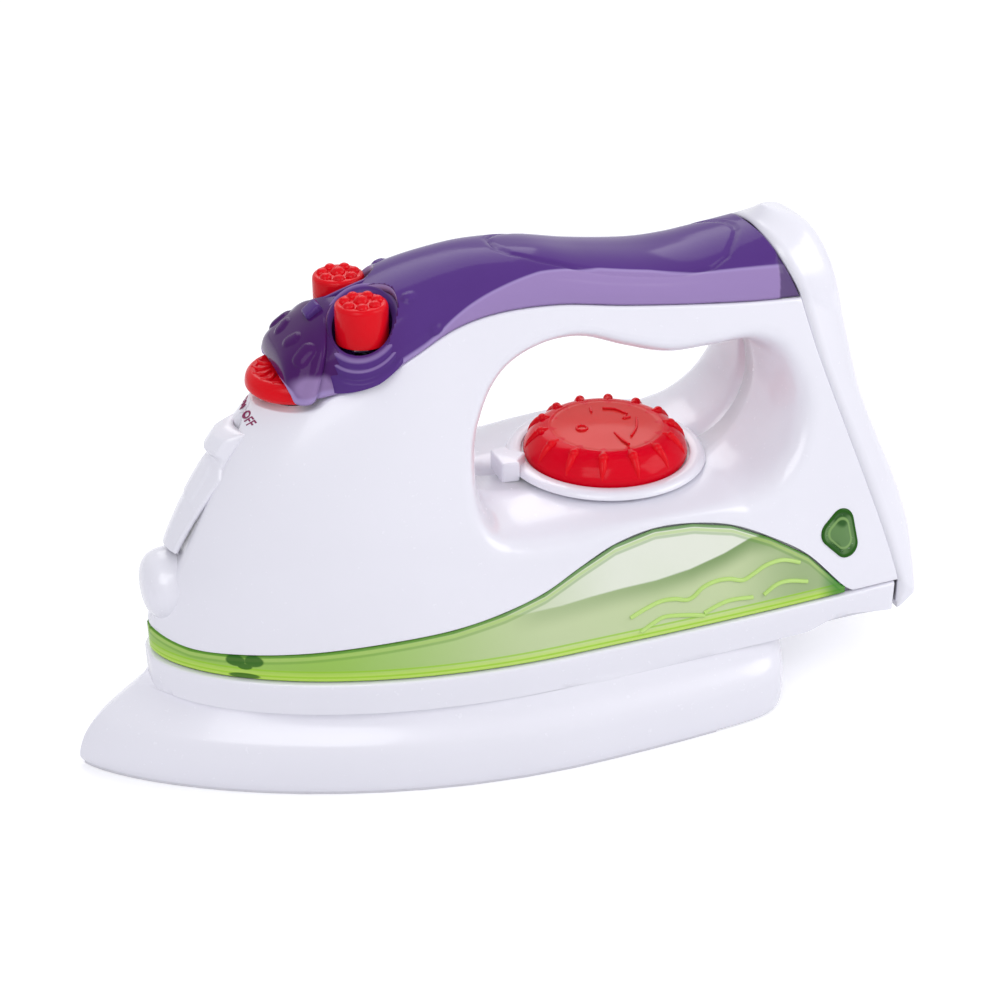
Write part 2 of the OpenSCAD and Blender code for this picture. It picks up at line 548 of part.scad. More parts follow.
module rear_cover() {
    color("ghostwhite") place() heel_shell();
}

// Nozzle knob and filler trim on the nose
module spray_nozzle() {
    r = knob_r;
    color("white") place() translate([knob_front, 0, knob_z]) rotate([0, 90, 0]) rotate_extrude() polygon([
        [0, 0], [0.35 * r, 0.02 * r], [0.62 * r, 0.1 * r], [0.83 * r, 0.26 * r], [0.95 * r, 0.48 * r],
        [r, 0.78 * r], [r, knob_back - knob_front - wall], [r + wall, knob_back - knob_front],
        [r + wall, knob_back - knob_front + wall], [0, knob_back - knob_front + wall]]);
}

trim_rows = 26;
trim_cols = 12;
trim_low = level(0.300);
trim_high = level(0.607);
// Place of the nose surface in front view, proud of the body by a height
function nose_at(y, z, proud) =
    let (w = half_w(z), s = 1 - pow(1 - pow(min(abs(y) / w, 1), 1.7), 0.5))
    nose_x(z) - proud + s * (run(z) + proud);
function bump(v, lo, hi, soft) = clip((v - lo) / soft, 0, 1) * clip((hi - v) / soft, 0, 1);
function smooth(t) = t * t * (3 - 2 * t);
function trim_half(t) = t < 0.68 ? mix(0.66, 1, t / 0.68) * 0.036 * iron_l : 0.043 * iron_l;
function trim_proud(c, t) =
    0.55 * wall + 0.35 * wall * smooth(bump(t, 0.4, 0.75, 0.05)) * smooth(bump(c, -0.6, 0.6, 0.15))
        + 1.9 * wall * smooth(bump(t, 0.66, 1.06, 0.14)) * smooth(bump(c, -1.1, 1.1, 0.5));
module filler_trim() {
    n = trim_cols + 1;
    grid = [for (side = [0, 1]) for (i = [0 : trim_rows]) for (j = [0 : trim_cols])
        let (t = i / trim_rows, c = 2 * j / trim_cols - 1, y = c * trim_half(t), z = mix(trim_low, trim_high, t))
        [nose_at(y, z, side == 0 ? trim_proud(c, t) : sit_gap / 2), y, z]];
    m = n * (trim_rows + 1);
    front = [for (i = [0 : trim_rows - 1]) for (j = [0 : trim_cols - 1])
        let (a = i * n + j, b = a + 1, c = a + n + 1, d = a + n) each [[a, b, c], [a, c, d]]];
    back = [for (f = front) [f[0] + m, f[2] + m, f[1] + m]];
    low = [for (j = [0 : trim_cols - 1]) let (a = j) each [[a, a + m, a + m + 1], [a, a + m + 1, a + 1]]];
    high = [for (j = [0 : trim_cols - 1]) let (a = trim_rows * n + j)
        each [[a, a + m + 1, a + m], [a, a + 1, a + m + 1]]];
    near = [for (i = [0 : trim_rows - 1]) let (a = i * n) each [[a, a + m + n, a + m], [a, a + n, a + m + n]]];
    far = [for (i = [0 : trim_rows - 1]) let (a = i * n + trim_cols)
        each [[a, a + m, a + m + n], [a, a + m + n, a + n]]];
    color("white") place() polyhedron(points = grid, faces = concat(front, back, low, high, near, far));
}

// Dial
module dial_bezel() {
    floor_z = deck_top + sit_gap / 2;
    color("white") place() {
        translate([dial_x, 0, floor_z]) difference() {
            union() {
                rotate_extrude($fn = 72) polygon([
                    [0, 0], [0.88 * bezel_r, 0], [bezel_r, 0.4 * wall], [bezel_r, 0.5 * wall], [0.975 * bezel_r, 0.95 * wall],
                    [0.92 * bezel_r, 1.15 * wall], [dial_r + 2 * sit_gap, 1.15 * wall],
                    [dial_r + 2 * sit_gap, 0.5 * wall], [0, 0.5 * wall]]);
                translate([0, 0, tube_end - floor_z]) cylinder(r = tube_r, h = floor_z - tube_end);
                for (k = [-1, 1]) translate([k * peg_x, 0, hub_end - 1.6 * wall - floor_z])
                    cylinder(r = peg_r, h = floor_z - hub_end + 1.6 * wall);
                linear_extrude(2.4 * wall) polygon([
                    [-1.42 * dial_r, -0.21 * dial_r], [-1.2 * dial_r, -0.24 * dial_r], [-1.2 * dial_r, -0.15 * dial_r],
                    [-1.04 * dial_r, 0], [-1.2 * dial_r, 0.15 * dial_r], [-1.2 * dial_r, 0.24 * dial_r],
                    [-1.42 * dial_r, 0.21 * dial_r]]);
            }
            translate([0, 0, tube_end - floor_z - cut_over])
                cylinder(r = hub_r + run_gap, h = floor_z - tube_end + wall + cut_over);
        }
    }
}

dial_low = deck_top + sit_gap / 2 + 0.5 * wall + sit_gap;
module dial_knob() {
    r = dial_r;
    h = dial_h;
    color("red") place() translate([dial_x, 0, dial_low]) difference() {
        union() {
            rotate_extrude($fn = 72) polygon([
                [0, h - wall], [0.66 * r, 0.9 * h - wall], [0.8 * r, 0.72 * h - 0.8 * wall],
                [r - wall, 0.2 * h], [r - wall, 0], [r - 0.1 * wall, 0], [r, 0.12 * h],
                [0.985 * r, 0.3 * h], [0.93 * r, 0.55 * h], [0.85 * r, 0.76 * h], [0.77 * r, 0.88 * h],
                [0.7 * r, 0.93 * h], [0.67 * r, 0.91 * h], [0, 0.97 * h]]);
            for (i = [0 : dial_ribs - 1]) rotate(360 * i / dial_ribs) {
                translate([0.80 * r, 0, 0.84 * h]) sphere(r = 0.07 * r, $fn = 24);
                translate([0.80 * r, 0, 0.84 * h]) rotate([0, 150, 0]) cylinder(r = 0.07 * r, h = 0.33 * r, $fn = 24);
                translate([0.65 * r, 0, 0.9 * h]) rotate([0, 90, 0]) cylinder(r = 0.025 * r, h = 0.15 * r, $fn = 16);
            }
            translate([0, 0, hub_end - dial_low]) cylinder(r = hub_r, h = dial_low - hub_end + 0.9 * h);
        }
        translate([0, 0, hub_end - dial_low - cut_over]) cylinder(r = 0.9 * screw_r, h = 6 * wall);
    }
}

wheel_r = 1.9 * hub_r;
module click_wheel() {
    color("ivory") place() translate([dial_x, 0, hub_end - 1.1 * wall]) difference() {
        cylinder(r = wheel_r, h = 1.1 * wall);
        translate([0, 0, -cut_over]) cylinder(r = screw_r + run_gap, h = 1.1 * wall + 2 * cut_over);
        for (i = [0 : dial_ribs - 1]) rotate(360 * (i + 0.5) / dial_ribs) translate([wheel_r, 0, -cut_over])
            cylinder(r = 0.13 * wheel_r, h = 1.1 * wall + 2 * cut_over, $fn = 16);
    }
}

module dial_screw() {
    color("silver") place() translate([dial_x, 0, hub_end - 1.1 * wall]) screw(5 * wall);
}

module click_spring() {
    low = hub_end - 1.1 * wall;
    leaf = 0.25 * wall;
    reach = peg_x + 0.4 * wheel_r;
    color("silver") place() translate([dial_x - peg_x, 0, low]) {
        difference() {
            cylinder(r = peg_r + 2 * leaf, h = wall);
            translate([0, 0, -cut_over]) cylinder(r = peg_r + run_gap, h = wall + 2 * cut_over);
        }
        translate([0, peg_r + leaf, 0]) rotate(atan2(wheel_r + sit_gap - peg_r + leaf, peg_x))
            cube([reach, leaf, wall]);
    }
}

// Push buttons
module push_button(side) {
    r = button_r;
    h = button_top - cup_low;
    translate([button_x, side * button_y, cup_low]) {
        difference() {
            rotate_extrude() polygon([
                [0, 0.62 * h], [0.76 * r, 0.62 * h], [0.78 * r, 0], [r, 0], [r, 0.72 * h], [0.93 * r, 0.83 * h],
                [0.74 * r, 0.91 * h], [0.4 * r, 0.97 * h], [0, h - 0.12 * r]]);
        }
        translate([0, 0, h - 0.3 * r]) sphere(r = 0.3 * r, $fn = 20);
        for (i = [0 : 6]) rotate(360 * i / 7) translate([0.62 * r, 0, 0.9 * h - 0.06 * r]) sphere(r = 0.21 * r, $fn = 20);
    }
    rod(button_x, side * button_y, stem_low, cup_low + 0.66 * h, stem_r);
    rod(button_x, side * button_y, guide_low - sit_gap - 0.6 * wall, guide_low - sit_gap, stem_r + 0.35 * wall);
}
module steam_button() { color("red") place() push_button(-1); }
module spray_button() { color("red") place() push_button(1); }

module return_spring(side) {
    top = cup_low + 0.62 * (button_top - cup_low);
    color("silver") place() translate([button_x, side * button_y, floor_top + 0.1 * wall])
        coil(0.62 * button_r, 0.2 * wall, top - floor_top - 0.2 * wall, 5);
}
module steam_spring() { return_spring(-1); }
module spray_spring() { return_spring(1); }

// ON/OFF lever
module switch_lever() {
    r = lever_r;
    t = lever_t;
    color("red") place() translate([lever_x, 0, lever_z]) difference() {
        union() {
            rotate(180 - lever_sweep) rotate_extrude(angle = 2 * lever_sweep, $fn = 72) polygon([
                [0.4 * r, 0], [0.92 * r, 0], [r, 0.25 * t], [r, 0.5 * t], [0.95 * r, 0.72 * t],
                [0.8 * r, 0.9 * t], [0.6 * r, t], [0.4 * r, t]]);
            for (a = [-26, 0, 26]) rotate(180 + a) translate([0.54 * r, -0.03 * r, 0.7 * t])
                cube([0.36 * r, 0.06 * r, 0.3 * t]);
            cylinder(r = lever_hub_r, h = 0.76 * t);
            translate([peg_reach, 0, board_top + 1.6 * wall - lever_z])
                cylinder(r = 0.45 * wall, h = lever_z - board_top - 1.6 * wall + 0.5 * t);
        }
        translate([0, 0, -cut_over]) cylinder(r = pin_r + run_gap, h = t + 2 * cut_over);
        translate([0, 0, 0.76 * t]) cylinder(r = pin_r + 0.8 * wall + sit_gap, h = t);
    }
}

module lever_screw() {
    low = lever_z - sit_gap;
    color("silver") place() {
        translate([lever_x, 0, low - 0.4 * wall]) screw(0.4 * wall + lever_t);
        translate([lever_x, 0, low - 0.4 * wall]) difference() {
            cylinder(r = pin_r + 0.4 * wall, h = 0.4 * wall);
            translate([0, 0, -cut_over]) cylinder(r = screw_r + run_gap, h = wall + 2 * cut_over);
        }
    }
}

switch_x = lever_x + peg_reach;
module power_switch() {
    color("dimgray") place() difference() {
        slab(switch_x - 2 * wall, switch_x + 2 * wall, -2.6 * wall, 2.6 * wall, board_top, board_top + 1.5 * wall);
        slab(switch_x - 0.8 * wall, switch_x + 0.8 * wall, -2 * wall, 2 * wall, board_top + wall, board_top + 2 * wall);
    }
}
module switch_slider() {
    gap = 0.45 * wall + 0.5 * sit_gap;
    color("black") place() for (side = [-1, 1]) {
        slab(switch_x - 0.6 * wall, switch_x + 0.6 * wall, side > 0 ? gap : -gap - 0.5 * wall,
            side > 0 ? gap + 0.5 * wall : -gap, board_top + 1.1 * wall, board_top + 2.6 * wall);
        slab(switch_x - 0.6 * wall, switch_x + 0.6 * wall, side > 0 ? 0 : -gap - 0.5 * wall,
            side > 0 ? gap + 0.5 * wall : 0, board_top + 1.1 * wall, board_top + 1.5 * wall);
    }
}

// Boards
board_x0 = button_x - 2.3 * button_r;
board_x1 = button_x + 2.2 * button_r;
board_y = shelf_y + 2 * wall;
function board_edge(x) = min(board_y, flank(x, board_top, 1.5 * wall) - sit_gap);
board_half = [for (x = [board_x0, button_x - button_r, board_x1]) [x, board_edge(x)]];
module button_board() {
    color("darkgreen") place() difference() {
        translate([0, 0, board_top - board_t]) linear_extrude(board_t)
            polygon(concat(board_half, [for (k = [2 : -1 : 0]) [board_half[k][0], -board_half[k][1]]]));
        for (p = shelves) for (side = [-1, 1]) rod(p[0] + shelf_r, side * (p[1] + shelf_r),
            board_top - 2 * board_t, board_top + board_t, screw_r + run_gap);
    }
}
module tact_switches() {
    color("dimgray") place() for (side = [-1, 1]) {
        slab(button_x - 1.5 * wall, button_x + 1.5 * wall, side * button_y - 1.5 * wall,
            side * button_y + 1.5 * wall, board_top, board_top + 0.9 * wall);
        rod(button_x, side * button_y, board_top + 0.9 * wall, board_top + 1.2 * wall, 0.8 * wall);
    }
}
module main_board() {
    color("darkgreen") place() difference() {
        slab(main_posts[0][0] - 2 * wall, main_posts[2][0] + 2 * wall, -main_posts[0][1] - 1.4 * wall,
            main_posts[0][1] + 1.4 * wall, main_low, main_low + board_t);
        for (p = main_posts) rod(p[0], p[1], main_low - cut_over, main_low + board_t + cut_over, screw_r + run_gap);
    }
}
module sound_chip() {
    color("black") place() translate([mix(main_posts[0][0], main_posts[2][0], 0.45), 0, main_low + board_t])
        rotate_extrude() polygon([[0, 0], [3 * wall, 0], [2.8 * wall, 0.4 * wall], [2.2 * wall, 0.8 * wall], [0, 1.1 * wall]]);
}
module board_screws() {
    color("silver") place() {
        for (p = main_posts) translate([p[0], p[1], main_low + board_t]) mirror([0, 0, 1]) screw(2.6 * wall);
        for (p = shelves) for (side = [-1, 1]) translate([p[0] + shelf_r, side * (p[1] + shelf_r), board_top])
            mirror([0, 0, 1]) screw(2.2 * wall);
    }
}
module lamp_board() {
    color("darkgreen") place() slab(lamp_x - board_t / 2, lamp_x + board_t / 2, -5 * wall, 5 * wall,
        deck_z, lens_z + 4 * wall);
}
lamp_r = 1.25 * wall;
module indicator_lamps() {
    tip = lens_y - 2.6 * wall - lamp_r - sit_gap;
    color("palegreen") place() for (side = [-1, 1]) {
        cross_rod(lamp_x, lens_z, side > 0 ? 5 * wall : -tip, side > 0 ? tip : -5 * wall, lamp_r);
        translate([lamp_x, side * tip, lens_z]) sphere(r = lamp_r);
    }
}

module lens(side) {
    color("green") place() mirror([0, side < 0 ? 1 : 0, 0]) union() {
        lens_prism(-sit_gap / 2, lens_y - 2 * wall, lens_y + 0.1 * wall);
        lens_prism(0.5 * wall, lens_y - 2.6 * wall, lens_y - 2 * wall);
    }
}
module lens_left() { lens(-1); }
module lens_right() { lens(1); }

// Base
module base_skirt() {
    color("white") place() difference() {
        union() {
            skirt_shell();
            for (p = main_posts) rod(p[0], p[1], deck_z - wall / 2, main_low, boss_r);
            for (p = sole_posts) rod(p[0], p[1], sole_t, deck_z - wall / 2, boss_r + 0.5 * wall);
        }
        for (p = main_posts) rod(p[0], p[1], deck_z, main_low + cut_over, screw_r * 0.9);
        for (p = sole_posts) rod(p[0], p[1], 0, deck_z - 2 * wall, screw_r * 0.9);
        for (p = foot_posts) rod(p[0], p[1] * post_y(p), deck_z - 2 * wall, deck_z + wall, screw_r + run_gap);
        for (p = foot_posts) rod(p[0], p[1] * post_y(p), deck_z - 2 * wall, deck_z - wall, 2 * screw_r + sit_gap);
    }
}
module base_screws() {
    color("silver") place() for (p = foot_posts) translate([p[0], p[1] * post_y(p), deck_z - wall]) screw(4 * wall);
}

sole_t = 1.2 * wall;
sole_ring = inner_ring(skirt_out[2], 0) + [sit_gap, 2 * sit_gap, sit_gap, 0];
flange_ring = skirt_out[1];
module sole_outline(ring) { polygon([for (i = [0 : skirt_steps - 1]) let (p = sole_point(i, ring)) [p[0], p[1]]]); }
module sole_plate() {
    color("whitesmoke") place() difference() {
        union() {
            linear_extrude(sole_t) sole_outline(sole_ring);
            intersection() {
                linear_extrude(foot_gap) sole_outline(flange_ring);
                slab(0, 0.71 * iron_l, -sole_w, sole_w, 0, sole_t);
            }
            slab(bay_x - wall, bay_x + bay_l + wall, -bay_half - wall, bay_half + wall, door_t + sit_gap, bay_top);
            rod(speaker_x, 0, 0, sole_t + 2 * wall, speaker_r + wall);
        }
        slab(bay_x + 4 * wall, bay_x + bay_l, -bay_half, bay_half, -cut_over, bay_top - 0.7 * wall);
        slab(bay_x - 2 * wall, bay_x + bay_l + wall, -bay_half - wall - sit_gap, bay_half + wall + sit_gap, -cut_over,
            door_t + sit_gap);
        rod(bay_x + 2 * wall, 0, 0, 5 * wall, screw_r * 0.9);
        rod(speaker_x, 0, sole_t, sole_t + 3 * wall, speaker_r + sit_gap);
        rod(speaker_x, 0, -cut_over, sole_t + cut_over, 0.1 * speaker_r);
        for (k = [1 : 3]) for (i = [0 : 6 * k - 1])
            translate([speaker_x, 0, 0]) rotate(60 * i / k) translate([0.24 * k * speaker_r, 0, -cut_over])
                cylinder(r = 0.07 * speaker_r, h = sole_t + 2 * cut_over, $fn = 16);
        for (p = sole_posts) {
            rod(p[0], p[1], -cut_over, sole_t + cut_over, screw_r + run_gap);
            rod(p[0], p[1], -cut_over, sole_t / 2, 2 * screw_r + sit_gap);
        }
    }
}
module sole_screws() {
    color("silver") place() for (p = sole_posts) translate([p[0], p[1], sole_t / 2]) screw(4 * wall);
}
module battery_door() {
    color("whitesmoke") place() difference() {
        slab(bay_x - 2 * wall + sit_gap, bay_x + bay_l + wall - sit_gap, -bay_half - wall, bay_half + wall,
            0.2 * wall, door_t);
        rod(bay_x + 2 * wall, 0, 0, door_t + cut_over, screw_r + run_gap);
        rod(bay_x + 2 * wall, 0, 0, 0.6 * door_t, 2 * screw_r + sit_gap);
    }
}
module battery_screw() {
    color("silver") place() translate([bay_x + 2 * wall, 0, 0.6 * door_t]) screw(3.5 * wall);
}
cell_z = door_t + cell_d / 2 + 0.4 * wall;
cell_y = cell_d / 2 + 0.2 * wall;
bay_in = bay_x + 4 * wall;
bay_out = bay_x + bay_l;
module batteries() {
    color("slategray") place() for (side = [-1, 1])
        translate([side > 0 ? bay_in + 3.2 * wall : bay_out - 3.2 * wall, side * cell_y, cell_z])
            rotate([0, side * 90, 0]) {
                cylinder(r = cell_d / 2, h = cell_l);
                cylinder(r = 0.19 * cell_d, h = cell_l + 0.6 * wall);
            }
}
plate_t = 0.25 * wall;
module battery_contacts() {
    color("silver") place() for (side = [-1, 1]) for (x = [bay_in, bay_out - plate_t])
        slab(x, x + plate_t, side * cell_y - 0.4 * cell_d, side * cell_y + 0.4 * cell_d,
            cell_z - 0.4 * cell_d, cell_z + 0.4 * cell_d);
}
module battery_springs() {
    color("silver") place() for (side = [-1, 1])
        translate([side > 0 ? bay_in + plate_t : bay_out - plate_t, side * cell_y, cell_z]) rotate([0, side * 90, 0])
            coil(0.3 * cell_d, 0.2 * wall, 3.1 * wall - plate_t, 3);
}
module speaker() {
    color("dimgray") place() translate([speaker_x, 0, sole_t + 0.1 * wall]) {
        cylinder(r = speaker_r, h = 1.2 * wall);
        translate([0, 0, 1.2 * wall]) cylinder(r1 = 0.9 * speaker_r, r2 = 0.55 * speaker_r, h = 1.2 * wall);
        translate([0, 0, 2.4 * wall]) cylinder(r = 0.5 * speaker_r, h = 1.6 * wall);
    }
}

body_left();
body_right();
handle_cover();
rear_cover();
water_tank();
base_skirt();
sole_plate();
spray_nozzle();
filler_trim();
dial_bezel();
dial_knob();
click_wheel();
dial_screw();
click_spring();
steam_button();
spray_button();
steam_spring();
spray_spring();
switch_lever();
lever_screw();
power_switch();
switch_slider();
button_board();
tact_switches();
main_board();
sound_chip();
lamp_board();
indicator_lamps();
lens_left();
lens_right();
battery_door();
battery_screw();
batteries();
battery_contacts();
battery_springs();
speaker();
body_screws();
base_screws();
sole_screws();
board_screws();
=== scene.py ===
"""Toy steam iron: moulded shells, tinted grip cover and tank band, click dial, push buttons and lever."""
import math

import bmesh
import bpy
from bpy.props import FloatProperty, FloatVectorProperty, IntProperty, PointerProperty
from mathutils import Matrix, Vector


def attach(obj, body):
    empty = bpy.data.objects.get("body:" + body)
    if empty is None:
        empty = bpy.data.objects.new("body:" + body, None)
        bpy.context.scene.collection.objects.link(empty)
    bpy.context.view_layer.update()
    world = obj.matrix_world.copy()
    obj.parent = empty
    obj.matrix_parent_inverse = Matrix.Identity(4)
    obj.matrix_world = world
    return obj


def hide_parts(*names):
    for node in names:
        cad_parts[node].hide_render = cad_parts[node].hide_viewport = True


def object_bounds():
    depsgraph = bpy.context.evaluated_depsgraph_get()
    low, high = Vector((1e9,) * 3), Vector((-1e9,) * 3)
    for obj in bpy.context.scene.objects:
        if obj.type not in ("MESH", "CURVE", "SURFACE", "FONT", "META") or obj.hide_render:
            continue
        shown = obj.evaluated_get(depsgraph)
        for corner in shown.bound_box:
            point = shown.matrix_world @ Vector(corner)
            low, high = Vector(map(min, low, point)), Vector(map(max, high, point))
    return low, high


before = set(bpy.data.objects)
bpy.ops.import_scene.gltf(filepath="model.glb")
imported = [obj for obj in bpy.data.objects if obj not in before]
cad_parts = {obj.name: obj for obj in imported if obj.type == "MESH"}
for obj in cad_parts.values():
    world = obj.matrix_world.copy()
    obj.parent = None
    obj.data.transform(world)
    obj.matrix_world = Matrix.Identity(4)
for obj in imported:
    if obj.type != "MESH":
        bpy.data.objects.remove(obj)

bl_info = {
    "name": "Toy Steam Iron",
    "version": (1, 0, 0),
    "blender": (4, 5, 0),
    "location": "View3D > Sidebar > Toy Iron",
    "description": "Builds the dressed pieces of a toy steam iron around its packed model",
    "category": "Add Mesh",
}

CAD_BOX = [list(corner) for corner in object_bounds()]
MM = 0.001
IRON_L = round((CAD_BOX[1][0] - CAD_BOX[0][0]) / MM)
IRON_H = round(CAD_BOX[1][2] / MM)
BASE_H = 28.0
BODY_W = 76.0
HANDLE_W = 33.0
SOLE_W = 88.0
SOLE_L = 168.0
WALL = 2.0
RECESS = 2.4
DIAL_R = 20.0
DIAL_H = 7.6


# Sizes and colours that a user may change

class IronSizes(bpy.types.PropertyGroup):
    rounding: FloatProperty(name="Edge rounding", description="Radius of the shells' outer edges",
                            default=0.0006, min=0.0001, max=0.002, unit="LENGTH")
    rib_rise: FloatProperty(name="Dial rib", description="Height of the ribs round the dial",
                            default=0.0013, min=0.0, max=0.003, unit="LENGTH")
    bead_rise: FloatProperty(name="Button bead", description="Height of the beads on the buttons",
                             default=0.0012, min=0.0, max=0.003, unit="LENGTH")
    groove: FloatProperty(name="Grip groove", description="Depth of the line round the grip pad",
                          default=0.0005, min=0.0, max=0.002, unit="LENGTH")
    wave_rise: FloatProperty(name="Tank waves", description="Height of the wave lines on the tank",
                             default=0.0007, min=0.0, max=0.002, unit="LENGTH")
    density: IntProperty(name="Density", description="Faces per outline step of the shells",
                         default=6, min=2, max=10)


class IronColours(bpy.types.PropertyGroup):
    shell: FloatVectorProperty(name="Shell", description="White of the moulded shells", size=3,
                               subtype="COLOR", default=(0.845, 0.835, 0.905), min=0.0, max=1.0)
    violet: FloatVectorProperty(name="Grip cover", description="Tint of the grip cover", size=3,
                                subtype="COLOR", default=(0.100, 0.038, 0.235), min=0.0, max=1.0)
    violet_pale: FloatVectorProperty(name="Grip cover edge", description="Tint where the shell shows through",
                                     size=3, subtype="COLOR", default=(0.375, 0.265, 0.530), min=0.0, max=1.0)
    lime: FloatVectorProperty(name="Tank", description="Tint of the tank band", size=3,
                              subtype="COLOR", default=(0.470, 0.640, 0.300), min=0.0, max=1.0)
    lime_deep: FloatVectorProperty(name="Tank edge", description="Tint of the tank band's thick edges",
                                   size=3, subtype="COLOR", default=(0.300, 0.600, 0.020), min=0.0, max=1.0)
    red: FloatVectorProperty(name="Controls", description="Red of the buttons and the lever", size=3,
                             subtype="COLOR", default=(0.790, 0.004, 0.012), min=0.0, max=1.0)
    letters: FloatVectorProperty(name="Letters", description="Colour of the ON and OFF letters", size=3,
                                 subtype="COLOR", default=(0.250, 0.010, 0.090), min=0.0, max=1.0)


def sizes():
    return bpy.context.scene.iron_sizes


def colours():
    return bpy.context.scene.iron_colours


# Curve and surface rules of the body, in millimetres from the nose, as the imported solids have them

def mix(a, b, t):
    return a + (b - a) * t


def clip(value, low, high):
    return min(max(value, low), high)


def level(share):
    return mix(BASE_H, IRON_H, share)


def blend4(a, b, c, d, t):
    """A place between b and c on the smooth curve through four points."""
    return tuple(q + t / 2 * ((r - p) + t * ((2 * p - 5 * q + 4 * r - s) + t * (3 * q - p - 3 * r + s)))
                 for p, q, r, s in zip(a, b, c, d))


def along(points, share):
    """A place on the smooth curve through the points, by its share of the way."""
    n = len(points) - 1
    place = clip(share, 0, 1) * n
    i = min(int(place), n - 1)
    return blend4(points[max(i - 1, 0)], points[i], points[i + 1], points[min(i + 2, n)], place - i)


def around(points, place):
    """A place on the closed smooth curve through the points, counted in points."""
    n = len(points)
    i = math.floor(place)
    return blend4(points[(i - 1) % n], points[i % n], points[(i + 1) % n], points[(i + 2) % n], place - i)


def lookup(value, table):
    """A table's value, on straight lines between its rows."""
    if value <= table[0][0]:
        return table[0][1]
    for (a, low), (b, high) in zip(table, table[1:]):
        if value <= b:
            return mix(low, high, (value - a) / (b - a))
    return table[-1][1]


def soft(t):
    """A smooth step from 0 to 1."""
    t = clip(t, 0, 1)
    return t * t * (3 - 2 * t)


def shares(parts):
    return [k / parts for k in range(parts + 1)]


def side_point(share):
    """Length and height of a place that is given in shares of the side view."""
    return share[0] * IRON_L, level(share[1])


NOSE_X = 0.0922 * IRON_L
NOSE_Z = level(0.063)
NOSE_SLOPE = 0.128
NOSE_SWEEP = 0.842
GRIP_Z = level(0.809)
BELLY_X = 0.607 * IRON_L
WAIST_POWER = 1.25
RUN_LOW = 0.442
RUN_HIGH = 0.136
FLANK_POWER = 0.588
REAR_TAPER = 0.07


def rise(z):
    """A height's share of the way from the base to the grip."""
    return clip((z - BASE_H) / (GRIP_Z - BASE_H), 0, 1.4)


def half_width(z):
    """Half the body's width at a height, where it is widest."""
    return mix(BODY_W, HANDLE_W, rise(z) ** WAIST_POWER) / 2


def nose_x(z):
    """The nose line's place along the iron at a height."""
    h = max(z - NOSE_Z, 0)
    return NOSE_X + h * (NOSE_SLOPE + NOSE_SWEEP * h / IRON_H)


def run(z):
    """Length over which the side widens behind the nose, at a height."""
    return mix(RUN_LOW, RUN_HIGH, rise(z)) * IRON_L


def flank(x, z, inset=0.0):
    """Half the body's width at a length and a height: the rule that the outer pieces share."""
    s = clip((x - nose_x(z) - inset) / (run(z) - inset), 0, 1)
    r = max(0, (x - BELLY_X) / (IRON_L - BELLY_X))
    return (half_width(z) - inset) * (1 - (1 - s) ** 2) ** FLANK_POWER * (1 - REAR_TAPER * r * r)


def lip_rise(c, square):
    """Share of the full width at a share of the rolled lip; a higher square turns it tighter."""
    return max(1 - (1 - c) ** square, 0) ** (1 / square)


# The handle opening: shares of length and height, the rolled lip's reach in shares of length, its squareness
OPENING = [
    (0.458, 0.402, 0.034, 3.0), (0.456, 0.500, 0.034, 2.6), (0.466, 0.607, 0.034, 2.4),
    (0.495, 0.703, 0.032, 2.2), (0.539, 0.755, 0.029, 2.2), (0.587, 0.755, 0.029, 2.2),
    (0.636, 0.715, 0.029, 2.2), (0.684, 0.683, 0.029, 2.2), (0.738, 0.681, 0.029, 2.2),
    (0.786, 0.679, 0.034, 2.4), (0.818, 0.635, 0.036, 2.8), (0.828, 0.528, 0.038, 3.0),
    (0.815, 0.425, 0.038, 3.2), (0.782, 0.350, 0.036, 3.6), (0.735, 0.329, 0.034, 4.2),
    (0.621, 0.329, 0.034, 4.2), (0.524, 0.329, 0.034, 4.2), (0.476, 0.346, 0.034, 3.6)]
# Outlines on the side, in shares of length and of height above the base
NOSE_LINE = [(0.093, 0.081), (0.119, 0.224), (0.148, 0.360), (0.185, 0.516), (0.227, 0.668)]
SEAM_LINE = [
    (0.227, 0.668), (0.262, 0.674), (0.284, 0.690), (0.302, 0.717), (0.345, 0.751), (0.388, 0.801),
    (0.437, 0.850), (0.490, 0.872), (0.558, 0.870), (0.631, 0.846), (0.704, 0.826), (0.777, 0.809),
    (0.850, 0.798)]
REAR_LINE = [(0.850, 0.798), (0.867, 0.648), (0.898, 0.432), (0.940, 0.151), (0.960, 0.004)]
TANK_LINE = [
    (0.960, 0.004), (0.896, 0.005), (0.880, 0.032), (0.835, 0.138), (0.786, 0.209), (0.738, 0.261),
    (0.689, 0.287), (0.641, 0.293), (0.592, 0.272), (0.549, 0.231), (0.505, 0.184), (0.456, 0.153),
    (0.398, 0.128), (0.320, 0.109), (0.243, 0.089), (0.175, 0.075), (0.126, 0.068), (0.093, 0.081)]
